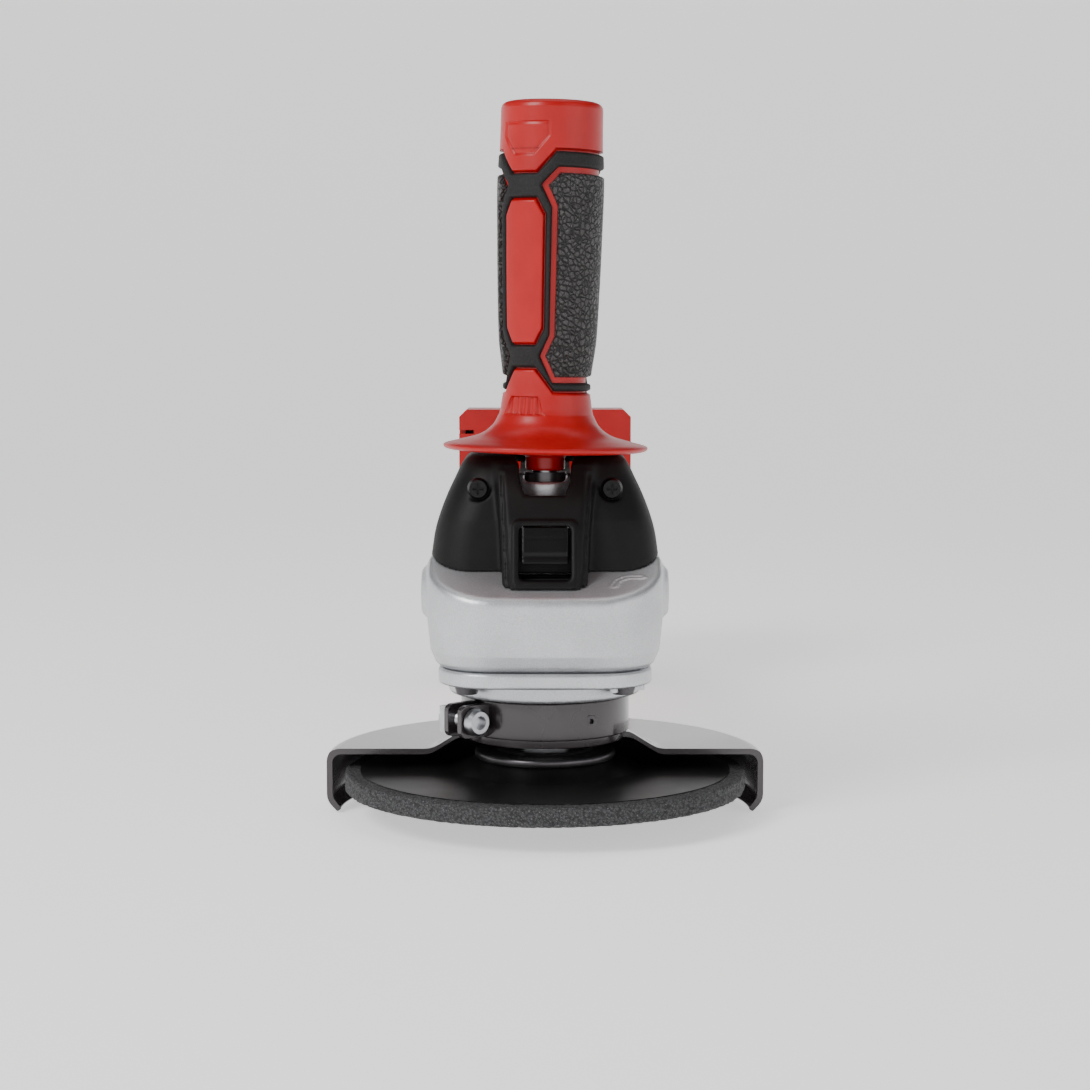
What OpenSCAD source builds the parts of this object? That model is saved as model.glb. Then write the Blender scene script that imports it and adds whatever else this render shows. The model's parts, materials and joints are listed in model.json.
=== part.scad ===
// Cordless angle grinder with a 125 mm disc, shown with its side handle in the top socket.
// X runs to the right of the tool, Y from the head towards the battery, Z up along the spindle.
// The origin is on the spindle axis, at the spindle's lower end.

/* [Grinding disc] */
// Radius of the grinding disc
disc_r = 62.5; // [58:0.5:63]
// Thickness of the grinding disc
disc_t = 6; // [3:0.5:6]
// Height of the disc's lower face above the spindle's end
disc_z = 5; // [4.8:0.1:5.2]
// How far the disc's centre is raised
hub_rise = 3.5; // [3:0.1:3.5]
// Bore of the disc, as a radius
disc_bore_r = 11.1; // [11.1:0.1:11.3]

/* [Guard] */
// Outer radius of the guard
guard_r = 68.4; // [67:0.2:70]
// Height of the guard's top plate
guard_top_z = 17; // [16.8:0.1:17.4]
// Depth of the guard from its top plate to its rim
guard_depth = 20.1; // [18:0.1:21]
// Thickness of the guard's sheet
guard_sheet = 1.8; // [1.2:0.1:1.8]

/* [Spindle and gears] */
// Radius of the spindle's thread, M14
thread_r = 7; // [6.8:0.1:7]
// Number of teeth on the crown gear
crown_teeth = 36; // [36:1:36]
// Number of teeth on the pinion
pinion_teeth = 9; // [9:1:9]
// Height of the motor axis
axis_z = 69; // [69:0.1:69.2]

/* [Gear housing] */
// Half the width of the gear housing
head_w = 35.75; // [35:0.25:37]
// How far the gear housing reaches in front of the spindle
head_front = 38; // [37:0.5:40]
// Height of the housing's lower face
head_z = 45.6; // [45:0.1:46]
// Height of the housing's front edge
crease_z = 67.8; // [67:0.1:68.5]
// Rise of the housing's top for each millimetre towards the motor
crease_slope = 0.38; // [0.36:0.01:0.39]
// Distance across the two handle bosses
boss_span = 76.5; // [75:0.5:78]
// Height of the handle bosses' holes
boss_z = 66.6; // [66:0.1:67]

/* [Motor body] */
// Radius of the motor casing
motor_r = 29; // [28.6:0.1:29.5]
// Radius of the rear grip
grip_r = 24.5; // [24:0.1:26]
// Where the motor casing meets the battery foot
foot_y = 235; // [235:1:245]
// Wall of the casing
wall = 2.5; // [2:0.1:2.6]

/* [Battery] */
// Width of the battery foot
foot_w = 70.6; // [68:0.2:72]
// Height of the battery foot's top
foot_top_z = 115.6; // [114:0.2:118]
// Depth of the battery foot
foot_depth = 27; // [26:0.5:28]
// Depth of the battery pack
pack_depth = 62.6; // [62:0.2:66]
// Half the width of the battery pack
pack_w = 34; // [34:0.2:35]

/* [Side handle] */
// Height of the handle's cap
handle_top_z = 216.3; // [214:0.1:218]
// Radius of the hand stop
stop_r = 31.65; // [30:0.05:33]
// Lean of the grip from the stud's axis, in degrees
handle_lean = 1.15; // [0:0.05:1.3]
// Radius of the M8 stud
stud_r = 3.95; // [3.9:0.01:3.97]
// Turn of the grip's windows from straight ahead, in degrees
window_turn = -32; // [-60:1:60]

/* [Hidden] */
$fn = 72;

// Overlap of a cutting shape past the face that it cuts
cut = 0.5;
// Clearance between pieces on different bodies
gap = 0.4;
// Running clearance of a shaft in its hole
fit = 0.05;
// Finish colours
silver = [0.77, 0.78, 0.8];
steel = [0.55, 0.56, 0.58];
black = [0.1, 0.1, 0.11];
dark_steel = [0.25, 0.24, 0.25];
red = [0.78, 0.07, 0.08];
copper = [0.72, 0.42, 0.2];

// Disc and flanges
hub_z = disc_z + hub_rise;
hub_top_z = hub_z + disc_t;
hub_r = 20.5;
hub_slope = 8.5;
flange_r = 22;
flange_t = 3.6;
flange_top_z = hub_top_z + flange_t;
label_r = 50;
label_t = 0.25;
nut_r = 19;
nut_t = hub_z - 3;

// Spindle and its bearings: the thread's free end, its length under the nut, and the gear's seat
thread_end_z = 2.8;
held_r = thread_r - 0.3;
gear_seat_r = 7.3;
shoulder_r = 8.2;
journal_r = 7.5;
lower_bearing_r = 17.5;
lower_bearing_z = 27;
lower_bearing_t = 11;
crown_z = 55;
crown_web_t = 7;
crown_r = 20.5;
tooth_in_r = 17;
tooth_out_r = 20;
pinion_tip_r = 5.3;
pinion_root_r = 3.6;
tooth_engage = 1.2;
crown_tip_z = axis_z - pinion_tip_r + tooth_engage;
lock_hole_r = 2.6;
lock_pin_r = 2.2;
lock_y = -14.2;
needle_bore_r = 4;
needle_r = 6;
needle_z = 74;
needle_t = 8;

// Motor stations along Y
shaft_front_y = 14;
front_bearing_y = 25;
ball_bearing_t = 7;
motor_bearing_r = 11;
head_rear_y = 34;
flange_y = 30;
flange_lug_r = 5;
lug_t = 4;
fan_y = 38;
fan_t = 9;
baffle_y = 48.5;
stator_y = 53;
stator_len = 38;
stator_r = 24;
stator_bore_r = 15.8;
rotor_r = 15;
board_y = 94;
rear_bearing_y = 98;
rear_bearing_t = 6;
rear_bearing_r = 9.5;
rear_journal_r = 3.5;
casing_end_y = 112;
grip_start_y = 124;

// Cover, neck and collar heights
neck_r = 23;
neck_z = 21;
step_r = 30;
step_z = 35.8;
plate_z = 40.9;
cover_top_z = 109;
tower_r = 9.5;
socket_top_z = 100;
socket_depth = 14;
socket_r = 4;
collar_r = 6.5;
collar_t = 3.4;
band_in_r = 24.6;
band_t = 1.6;
band_z = 23.7;
band_h = 11.5;
clamp_turn = 40;
clamp_x = band_in_r + 7;
clamp_screw_r = 2.5;
ear_len = 12;
ear_t = 2;
ear_y = 4.25;
band_screw_x = 14;

// Screws of the head cover, the bearing cover and the motor flange
cover_screw_x = 20.3;
cover_screw_z = 99.5;
plate_screw_x = 23.5;
plate_screw_y = [-24.5, 22.5];
flange_screw_x = 22;
flange_screw_z = [50, 88];

// Lock button
button_w = 7.2;
button_z = 77.7;
button_top_z = 88.4;

// Battery foot and pack
foot_z = 20;
foot_rear_y = foot_y + foot_depth;
pack_y = foot_rear_y + gap;
pack_z = guard_top_z - guard_depth;
pack_top_z = 112;
cell_r = 9.1;
cell_len = 65;
cell_pitch = 19.5;
cell_z = 16;

rail_x = 20;
rail_web_w = 5;
rail_w = 9;
rail_z = 34;
rail_top_z = 104;
rail_out = 5;
contact_x = [-8, 0, 8];
latch_w = 13;
hook_w = 9;
latch_z = 3;
charge_x = 18;
charge_z = 98;

// Switch and control board in the grip
rod_z = axis_z + 24.4;
rod_t = 1.5;
knob_key_y = 88.6;
board_lo = [-15, 164, axis_z + 2];
board_hi = [15, 216, axis_z + 4];
sink_lo = [-12, 168, axis_z + 4];
sink_hi = [12, 190, axis_z + 9];
vent_h = 3;
vent_pitch = 6;
vent_z = axis_z - 13;

// Handle
neck_in_r = 6.15;
handle_z = socket_top_z + 2 * gap + collar_t;
grip_lo_z = 127.5;
grip_hi_z = 203;
grip_depth = 2;

// A ring with its lower face at z = 0
module ring(r_out, r_in, h) {
    difference() {
        cylinder(r = r_out, h = h);
        translate([0, 0, -cut]) cylinder(r = r_in, h = h + 2 * cut);
    }
}

// Places children on the motor axis at a station along it, with their +Z along +Y
module on_axis(y) {
    translate([0, y, axis_z]) rotate([-90, 0, 0]) children();
}

// Points of an arc, from one angle to another
function arc(x, y, r, from, to, steps = 8) =
    [for (i = [0:steps]) let (a = from + (to - from) * i / steps) [x + r * cos(a), y + r * sin(a)]];

// A box given by its lowest and highest corners
module block(lo, hi) {
    translate(lo) cube(hi - lo);
}

// Outer race of a ball bearing
module outer_race(r_out, r_in, t) {
    ball_r = (r_out - r_in) / 5;
    ring(r_out, (r_out + r_in) / 2 + ball_r, t);
}

// Inner race of a ball bearing, with its balls
module inner_race(r_out, r_in, t) {
    pitch_r = (r_out + r_in) / 2;
    ball_r = (r_out - r_in) / 5;
    ring(pitch_r - ball_r + 2 * fit, r_in, t);
    for (a = [0:45:315])
        rotate([0, 0, a]) translate([pitch_r, 0, t / 2]) sphere(r = ball_r - fit, $fn = 24);
}

// A pan-head screw pointing along -Z, with the underside of its head at z = 0
module screw(shank_r, length, head_r, head_h) {
    difference() {
        union() {
            translate([0, 0, -length]) cylinder(r = shank_r, h = length + cut);
            cylinder(r1 = head_r, r2 = head_r * 0.8, h = head_h);
        }
        for (a = [0, 90])
            rotate([0, 0, a]) translate([-head_r * 0.5, -head_r * 0.12, head_h * 0.4])
                cube([head_r, head_r * 0.24, head_h]);
    }
}

// Depressed-centre grinding disc
module grinding_disc() {
    color([0.13, 0.13, 0.14])
        rotate_extrude()
            polygon([[disc_bore_r, hub_z], [hub_r + 1.5, hub_z], [hub_r + hub_slope + 1.5, disc_z],
                [disc_r, disc_z], [disc_r, disc_z + disc_t], [hub_r + hub_slope, disc_z + disc_t],
                [hub_r, hub_top_z], [disc_bore_r, hub_top_z]]);
}

// Thin blotter on the disc's upper face
module disc_label() {
    color(black)
        translate([0, 0, disc_z + disc_t]) ring(label_r, hub_r + hub_slope, label_t);
}

// Flange between the spindle's shoulder and the disc, with a pilot that centres the disc
module inner_flange() {
    pilot_h = 3;
    color(dark_steel) difference() {
        union() {
            translate([0, 0, hub_top_z]) cylinder(r = flange_r, h = flange_t);
            translate([0, 0, hub_top_z - pilot_h]) cylinder(r = disc_bore_r, h = pilot_h + cut);
        }
        translate([0, 0, hub_top_z - pilot_h - cut])
            cylinder(r = thread_r, h = pilot_h + flange_t + 2 * cut);
    }
}

// Round nut with four holes for a pin spanner
module outer_nut() {
    pin_hole_r = 2.5;
    color(steel) translate([0, 0, hub_z - nut_t]) difference() {
        union() {
            cylinder(r1 = nut_r - 2.5, r2 = nut_r - 1, h = nut_t / 2);
            translate([0, 0, nut_t / 2]) cylinder(r = nut_r, h = nut_t / 2);
        }
        translate([0, 0, -cut]) cylinder(r = thread_r, h = nut_t + 2 * cut);
        for (a = [45:90:315])
            rotate([0, 0, a]) translate([nut_r - 6, 0, -cut])
                cylinder(r = pin_hole_r, h = nut_t * 0.7 + cut, $fn = 24);
    }
}

// Output spindle, from its thread to the needle bearing's journal
module spindle() {
    top_z = needle_z + needle_t;
    gear_top_z = crown_z + crown_web_t;
    color(steel) rotate_extrude()
        polygon([[0, 0], [thread_r, 0], [thread_r, thread_end_z], [held_r, thread_end_z],
            [held_r, flange_top_z], [shoulder_r, flange_top_z], [shoulder_r, lower_bearing_z],
            [journal_r, lower_bearing_z], [journal_r, crown_z], [gear_seat_r, crown_z],
            [gear_seat_r, gear_top_z],
            [needle_bore_r + 1.5, gear_top_z], [needle_bore_r + 1.5, needle_z - 2],
            [needle_bore_r - fit, needle_z - 2], [needle_bore_r - fit, top_z - 1], [0, top_z - 1]]);
}

// Crown gear with upright teeth and four holes for the lock pin
module crown_gear() {
    pitch = 360 / crown_teeth;
    rim_z = crown_z + crown_web_t;
    color(steel) {
        difference() {
            translate([0, 0, crown_z]) cylinder(r = crown_r, h = crown_web_t);
            translate([0, 0, crown_z - cut]) cylinder(r = gear_seat_r, h = crown_web_t + 2 * cut);
            for (a = [0:90:270])
                rotate([0, 0, a]) translate([0, lock_y, crown_z - cut])
                    cylinder(r = lock_hole_r, h = crown_web_t + 2 * cut, $fn = 32);
        }
        for (i = [0:crown_teeth - 1])
            rotate([0, 0, 90 + pitch * (i + 0.5)]) translate([tooth_in_r, 0, 0])
                rotate([90, 0, 90]) linear_extrude(tooth_out_r - tooth_in_r)
                    polygon([[-0.65, rim_z - cut], [0.65, rim_z - cut],
                        [0.4, crown_tip_z], [-0.4, crown_tip_z]]);
    }
}

// Outer race of the spindle's ball bearing
module lower_bearing_outer() {
    color(steel) translate([0, 0, lower_bearing_z])
        outer_race(lower_bearing_r, journal_r, lower_bearing_t);
}

// Inner race and balls of the spindle's ball bearing
module lower_bearing_inner() {
    color(steel) translate([0, 0, lower_bearing_z])
        inner_race(lower_bearing_r, journal_r, lower_bearing_t);
}

// Needle bush at the spindle's upper end
module upper_bearing() {
    color(steel) translate([0, 0, needle_z]) ring(needle_r, needle_bore_r, needle_t);
}

// Outline of the gear housing seen from above, with a slightly bowed front
module head_plan(half_w, front, rear, corner) {
    bow = 1.4;
    turned = 84;
    left = arc(corner - half_w, corner + bow - front, corner, 180, 180 + turned);
    right = arc(half_w - corner, corner + bow - front, corner, 360 - turned, 360);
    polygon(concat([[half_w, rear], [-half_w, rear]], left, [[0, -front]], right));
}

// Bearing cover: neck for the guard, round step and square plate
module bearing_cover() {
    spigot_r = 22.45;
    spigot_h = 2.4;
    lip_r = 9;
    recess_r = 4.2;
    head_h = 3;
    color(silver) difference() {
        union() {
            translate([0, 0, neck_z]) cylinder(r = neck_r, h = step_z - neck_z);
            translate([0, 0, step_z]) cylinder(r = step_r, h = plate_z - step_z);
            intersection() {
                translate([0, 0, plate_z]) linear_extrude(head_z - plate_z)
                    head_plan(head_w - 3.2, head_front - 2.2, flange_y - gap, 17);
                translate([0, 0, plate_z]) cylinder(r1 = 42, r2 = 52, h = head_z - plate_z);
            }
            translate([0, 0, head_z - cut]) cylinder(r = spigot_r, h = spigot_h + cut);
        }
        translate([0, 0, neck_z - cut]) cylinder(r = lip_r, h = lower_bearing_z - neck_z + 2 * cut);
        translate([0, 0, lower_bearing_z]) cylinder(r = lower_bearing_r, h = 30);
        for (x = [-plate_screw_x, plate_screw_x], y = plate_screw_y)
            translate([x, y, 0]) {
                translate([0, 0, step_z - cut]) cylinder(r = recess_r, h = head_h + 2 + cut);
                cylinder(r = 2, h = 60, $fn = 32);
            }
    }
}

// Four screws that hold the bearing cover, with their heads below
module bearing_cover_screws() {
    length = 15;
    color(dark_steel)
        for (x = [-plate_screw_x, plate_screw_x], y = plate_screw_y)
            translate([x, y, step_z + 5]) mirror([0, 0, 1]) screw(2, length, 3.9, 2.6);
}

// Space below the housing's top face, which slopes up to a level stretch behind the spindle
module below_crease() {
    reach = 60;
    level_y = -10;
    level_z = crease_z + crease_slope * (level_y + head_front);
    translate([-reach, 0, 0]) rotate([90, 0, 90]) linear_extrude(2 * reach)
        polygon([[-reach, 0], [reach, 0], [reach, level_z], [level_y, level_z],
            [-reach, crease_z + crease_slope * (head_front - reach)]]);
}

// A threaded boss for the side handle, along +X
module side_boss() {
    face_r = 6.75;
    base_r = 9.6;
    rotate([0, 90, 0]) {
        cylinder(r = base_r, h = head_w - 0.6);
        translate([0, 0, head_w - 0.6])
            cylinder(r1 = base_r, r2 = face_r, h = boss_span / 2 - head_w + 0.6);
    }
}

// The lugs round the flange's four screws
module flange_lugs(r, h) {
    for (x = [-flange_screw_x, flange_screw_x], z = flange_screw_z)
        translate([x, flange_y, z]) rotate([-90, 0, 0]) cylinder(r = r, h = h);
}

// Cast housing of the crown gear drive
module gear_housing() {
    crown_space_r = 22.5;
    crown_space_z = 66;
    pinion_space_r = 7.5;
    shell_t = 4;
    pocket_r = 4.4;
    color(silver) difference() {
        union() {
            intersection() {
                translate([0, 0, head_z]) linear_extrude(60)
                    head_plan(head_w, head_front, head_rear_y, 20);
                below_crease();
                // Side faces drawn in towards the lower edge
                translate([0, 80, 0]) rotate([90, 0, 0]) linear_extrude(160)
                    polygon([[-head_w, 60], [-head_w + 0.9, 51], [-head_w + 2.6, 47.2],
                        [-head_w + 4.6, head_z], [head_w - 4.6, head_z], [head_w - 2.6, 47.2],
                        [head_w - 0.9, 51], [head_w, 60], [head_w, 120], [-head_w, 120]]);
            }
            for (m = [0, 1]) mirror([m, 0, 0]) translate([0, 0, boss_z]) side_boss();
            translate([0, 0, 70]) cylinder(r = tower_r, h = socket_top_z - 70);
            // Flange that meets the motor casing, with a lug for each of its screws
            on_axis(flange_y) cylinder(r = motor_r, h = head_rear_y - flange_y);
            flange_lugs(flange_lug_r, head_rear_y - flange_y);
            // Wall round the front motor bearing
            on_axis(front_bearing_y - 4) cylinder(r = motor_bearing_r + 4, h = 9);
            // Posts for the head cover's screws
            for (m = [0, 1]) mirror([m, 0, 0])
                block([cover_screw_x - 3.2, -9.5, 72], [cover_screw_x + 1.8, -3, cover_screw_z + 2.6]);
        }
        for (x = [-cover_screw_x, cover_screw_x]) translate([x, -12, cover_screw_z])
            rotate([-90, 0, 0]) cylinder(r = 1.6, h = 6.5, $fn = 32);
        translate([0, 0, head_z - cut]) cylinder(r = crown_space_r, h = crown_space_z - head_z + cut);
        on_axis(10) cylinder(r = pinion_space_r, h = front_bearing_y - 10 + cut);
        on_axis(front_bearing_y) cylinder(r = motor_bearing_r, h = 40);
        translate([0, 0, crown_space_z - cut])
            cylinder(r = needle_r + 0.6, h = needle_z - crown_space_z + cut);
        translate([0, 0, needle_z - cut]) cylinder(r = needle_r, h = needle_t + cut);
        translate([0, 0, socket_top_z - socket_depth]) cylinder(r = socket_r, h = socket_depth + cut);
        translate([0, lock_y, 60]) cylinder(r = lock_pin_r + fit, h = 40, $fn = 32);
        translate([0, lock_y, needle_z]) cylinder(r = pocket_r, h = 30, $fn = 32);
        for (m = [0, 1]) mirror([m, 0, 0]) translate([boss_span / 2 - socket_depth, 0, boss_z])
            rotate([0, 90, 0]) cylinder(r = socket_r, h = socket_depth + cut);
        // Holes for the bearing cover's screws
        for (x = [-plate_screw_x, plate_screw_x], y = plate_screw_y)
            translate([x, y, head_z - cut]) cylinder(r = 2, h = 12, $fn = 32);
        // Holes for the screws from the motor casing
        for (x = [-flange_screw_x, flange_screw_x], z = flange_screw_z)
            translate([x, head_rear_y - 12, z]) rotate([-90, 0, 0]) cylinder(r = 2, h = 20, $fn = 32);
        // Vent slots low on both sides
        for (m = [0, 1], z = [50.5, 54]) mirror([m, 0, 0])
            block([head_w - shell_t / 2, -10, z], [head_w + 5, 12, z + 1.6]);
    }
}

// Half width of the head cover at its foot, middle and top
cover_w = [34.9, 33, 24.7];
// Front of the head cover at the same heights
cover_front = [-21, -18, -12];
// Heights of those three sections
cover_heights = [70, 90, cover_top_z];

// A thin slice of the head cover's dome, shrunk by an inset
module cover_slice(i, inset) {
    corner = 11;
    w = cover_w[i] - inset;
    r = corner - inset;
    rear = head_rear_y - 1 - inset;
    z = i == 2 ? cover_heights[i] - inset - 0.1 : cover_heights[i];
    translate([0, 0, z]) linear_extrude(0.1)
        polygon(concat([[w, rear], [-w, rear]], arc(r - w, cover_front[i] + inset + r, r, 180, 270),
            arc(w - r, cover_front[i] + inset + r, r, 270, 360)));
}

// The cover's dome, shrunk by an inset
module cover_dome(inset) {
    hull() for (i = [0:2]) cover_slice(i, inset);
}

// Raised tunnel down the middle of the cover's front, which carries the lock button
module cover_tunnel(inset) {
    top_w = 15.5 - inset;
    foot_half_w = 12.5 - inset;
    hull() {
        translate([-top_w, -15 + inset, cover_top_z - 3 - inset]) cube([2 * top_w, 20, 0.1]);
        translate([-foot_half_w - 1, -24.5 + inset, 88]) cube([2 * foot_half_w + 2, 26, 0.1]);
        translate([-foot_half_w, -33 + inset, 68]) cube([2 * foot_half_w, 36, 0.1]);
    }
}

// Plastic cover over the gear housing, with the button's window and the handle's notch
module head_cover() {
    skin = 2.4;
    window_w = 7.8;
    notch_w = 7.6;
    color(black) difference() {
        union() {
            cover_dome(0);
            cover_tunnel(0);
        }
        difference() {
            union() {
                cover_dome(skin);
                cover_tunnel(skin);
            }
            translate([0, 0, cover_top_z - skin]) cylinder(r = 60, h = 10);
        }
        below_crease();
        // Clear of the handle's socket, the gear housing's tower and the lock pin
        translate([0, 0, 60]) cylinder(r = tower_r, h = 60);
        translate([-notch_w, -40, 97.5]) cube([2 * notch_w, 40, 20]);
        block([-window_w, -40, 73], [window_w, -12, button_top_z + gap]);
        // Clear of the motor flange and its lugs
        on_axis(flange_y) cylinder(r = motor_r, h = 20);
        flange_lugs(flange_lug_r + gap, 20);
        for (x = [-flange_screw_x, flange_screw_x])
            translate([x, flange_y - 6, flange_screw_z[1]]) rotate([-90, 0, 0]) cylinder(r = 3, h = 10);
        for (x = [-cover_screw_x, cover_screw_x]) translate([x, -30, cover_screw_z])
            rotate([-90, 0, 0]) {
            cylinder(r = 3.7, h = 15.5, $fn = 32);
            cylinder(r = 1.6, h = 26, $fn = 32);
        }
    }
}

// Two screws at the cover's shoulders
module head_cover_screws() {
    color(dark_steel)
        for (x = [-cover_screw_x, cover_screw_x])
            translate([x, -14.5, cover_screw_z]) rotate([90, 0, 0])
            screw(1.6, 9, 3.3, 2);
}

// Four screws that join the gear housing to the motor casing
module housing_screws() {
    color(dark_steel)
        for (x = [-flange_screw_x, flange_screw_x], z = flange_screw_z)
            translate([x, head_rear_y + lug_t, z]) rotate([-90, 0, 0]) screw(2, 12, 3.6, 2.4);
}

// Half guard of pressed sheet, open at the front, with a full collar round the neck
module guard() {
    lip = 3.6;
    bend_r = 3;
    raise = 5.5;
    in_r = neck_r + fit;
    top = guard_top_z;
    low = top - guard_depth;
    t = guard_sheet;
    color(dark_steel) {
        // Plate, skirt and lip
        rotate_extrude(angle = 180)
            polygon(concat([[in_r, top + raise - t], [in_r, top + raise], [26, top + raise]],
                [[30.5, top + raise - 2.7], [35, top]],
                arc(guard_r - bend_r, top - bend_r, bend_r, 90, 0, 5),
                [[guard_r, low + lip], [guard_r - lip, low], [guard_r - lip - 1, low + 1],
                    [guard_r - t, low + lip + t / 2]],
                arc(guard_r - bend_r, top - bend_r, bend_r - t, 0, 90, 5),
                [[35.5, top - t], [30.5, top + raise - 2.7 - t], [26, top + raise - t]]));
        // Collar, with a hole for the band's screw
        difference() {
            translate([0, 0, top + raise - t]) ring(band_in_r, in_r, step_z - gap - top - raise + t);
            band_screw_hole();
        }
    }
}

// Hole for the band's grub screw
module band_screw_hole() {
    translate([band_screw_x, -20, band_z + band_h / 2]) rotate([90, 0, 0])
        cylinder(r = 1.75, h = 8, $fn = 32);
}

// Places children in the clamp's own frame, where the ears point along -X
module at_clamp() {
    rotate([0, 0, clamp_turn]) children();
}

// Clamp band round the guard's collar, with two ears at the front left
module clamp_band() {
    ear_lo_z = band_z + 0.6;
    ear_hi_z = band_z + band_h - 0.6;
    color(dark_steel) difference() {
        union() {
            translate([0, 0, band_z]) ring(band_in_r + band_t, band_in_r, band_h);
            for (y = [-ear_y, ear_y - ear_t])
                at_clamp() block([-band_in_r - ear_len, y, ear_lo_z],
                    [-band_in_r - 0.3, y + ear_t, ear_hi_z]);
        }
        at_clamp() block([-band_in_r - 8, ear_t - ear_y, band_z - cut],
            [-band_in_r + 2, ear_y - ear_t, band_z + band_h + cut]);
        at_clamp() translate([-clamp_x, -10, band_z + band_h / 2]) rotate([-90, 0, 0])
            cylinder(r = clamp_screw_r + fit, h = 20, $fn = 32);
        band_screw_hole();
    }
}

// Pan-head screw through the band's ears
module clamp_screw() {
    color(steel) at_clamp() translate([-clamp_x, -ear_y - gap, band_z + band_h / 2])
        rotate([90, 0, 0]) screw(clamp_screw_r, 15, 4.25, 2.8);
}

// Square nut behind the rear ear
module clamp_nut() {
    size = 8;
    t = 3.4;
    color(steel) at_clamp() translate([-clamp_x, ear_y, band_z + band_h / 2]) rotate([-90, 0, 0])
        difference() {
            translate([-size / 2, -size / 2, 0]) cube([size, size, t]);
            translate([0, 0, -cut]) cylinder(r = clamp_screw_r + fit, h = t + 2 * cut, $fn = 32);
        }
}

// Grub screw that keys the band to the collar
module band_screw() {
    color(dark_steel) translate([band_screw_x, -20.7, band_z + band_h / 2]) rotate([90, 0, 0])
        difference() {
            cylinder(r = 1.75, h = 2.2, $fn = 32);
            translate([0, 0, 1]) cylinder(r = 0.9, h = 2, $fn = 6);
        }
}

// Sliding push button that locks the spindle
module lock_button() {
    front_y = -28.3;
    back_y = -22;
    plate_t = 3;
    boss_r = 4.2;
    color(black) difference() {
        union() {
            translate([-button_w, 0, 0]) rotate([90, 0, 90]) linear_extrude(2 * button_w)
                polygon([[front_y, button_z], [back_y, button_z], [back_y, button_top_z - plate_t],
                    [lock_y - 3, button_top_z - plate_t], [lock_y - 3, button_top_z],
                    [front_y + 3.6, button_top_z]]);
            translate([0, lock_y, button_top_z - plate_t]) cylinder(r = boss_r, h = plate_t);
        }
        translate([0, lock_y, button_top_z - plate_t - cut])
            cylinder(r = lock_pin_r, h = plate_t + 2 * cut, $fn = 32);
    }
}

// Steel pin under the button, with a collar for its spring
module lock_pin() {
    tip_z = crown_z + crown_web_t + 0.8;
    color(steel) translate([0, lock_y, 0]) {
        translate([0, 0, tip_z]) cylinder(r = lock_pin_r, h = button_top_z - tip_z, $fn = 32);
        translate([0, 0, button_top_z - 4.5]) cylinder(r = 3.9, h = 1.5, $fn = 40);
    }
}

// Return spring round the lock pin, as the space its coils fill
module lock_spring() {
    color(steel) translate([0, lock_y, needle_z])
        ring(3.7, lock_pin_r + 0.4, button_top_z - 4.5 - needle_z);
}

// Pinion at the front of the motor shaft, in mesh with the crown gear
module pinion_gear() {
    pitch = 360 / pinion_teeth;
    hub_len = front_bearing_y - shaft_front_y - 0.5;
    color(steel) on_axis(shaft_front_y) {
        ring(pinion_root_r, 2.5, hub_len);
        // One tooth points straight down
        for (i = [0:pinion_teeth - 1])
            rotate([0, 0, 90 + pitch * i]) translate([0, 0, 2.5]) linear_extrude(4.5)
                polygon([[pinion_root_r - 0.3, -0.6], [pinion_tip_r, -0.35],
                    [pinion_tip_r, 0.35], [pinion_root_r - 0.3, 0.6]]);
    }
}

// Stepped motor shaft
module motor_shaft() {
    front_r = 2.5;
    front_journal_r = 4;
    core_r = 5;
    end_y = rear_bearing_y + rear_bearing_t;
    color(steel) on_axis(0) rotate_extrude()
        polygon([[0, shaft_front_y], [front_r, shaft_front_y], [front_r, front_bearing_y - 0.5],
            [front_journal_r, front_bearing_y - 0.5], [front_journal_r, fan_y - 2],
            [core_r, fan_y - 2], [core_r, board_y], [rear_journal_r, board_y],
            [rear_journal_r, end_y], [0, end_y]]);
}

// Rotor core with its buried magnets
module rotor() {
    core_r = 5;
    color(steel) on_axis(stator_y + 1) difference() {
        cylinder(r = rotor_r, h = stator_len - 2);
        translate([0, 0, -cut]) cylinder(r = core_r, h = stator_len);
        for (a = [0:45:315])
            rotate([0, 0, a]) translate([9, -1.2, -cut]) cube([4, 2.4, stator_len]);
    }
}

// Cooling fan with straight blades on a disc
module cooling_fan() {
    fan_hub_r = 8;
    fan_r = 20;
    blades = 14;
    color(black) on_axis(fan_y) {
        difference() {
            union() {
                cylinder(r = fan_r, h = 1.6);
                cylinder(r = fan_hub_r, h = fan_t);
            }
            translate([0, 0, -cut]) cylinder(r = 5, h = fan_t + 2 * cut);
        }
        for (i = [0:blades - 1])
            rotate([0, 0, i * 360 / blades]) translate([fan_hub_r + 1, -0.6, 1])
                cube([fan_r - fan_hub_r - 1.5, 1.2, fan_t - 1]);
    }
}

// Outer race of the front motor bearing
module front_motor_bearing_outer() {
    color(steel) on_axis(front_bearing_y) outer_race(motor_bearing_r, 4, ball_bearing_t);
}

// Inner race and balls of the front motor bearing
module front_motor_bearing_inner() {
    color(steel) on_axis(front_bearing_y) inner_race(motor_bearing_r, 4, ball_bearing_t);
}

// Outer race of the rear motor bearing
module rear_motor_bearing_outer() {
    color(steel) on_axis(rear_bearing_y) outer_race(rear_bearing_r, rear_journal_r, rear_bearing_t);
}

// Inner race and balls of the rear motor bearing
module rear_motor_bearing_inner() {
    color(steel) on_axis(rear_bearing_y) inner_race(rear_bearing_r, rear_journal_r, rear_bearing_t);
}

// Ring that guides the fan's air
module air_baffle() {
    color(black) on_axis(baffle_y) ring(motor_r - wall, 15, 2);
}

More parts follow.
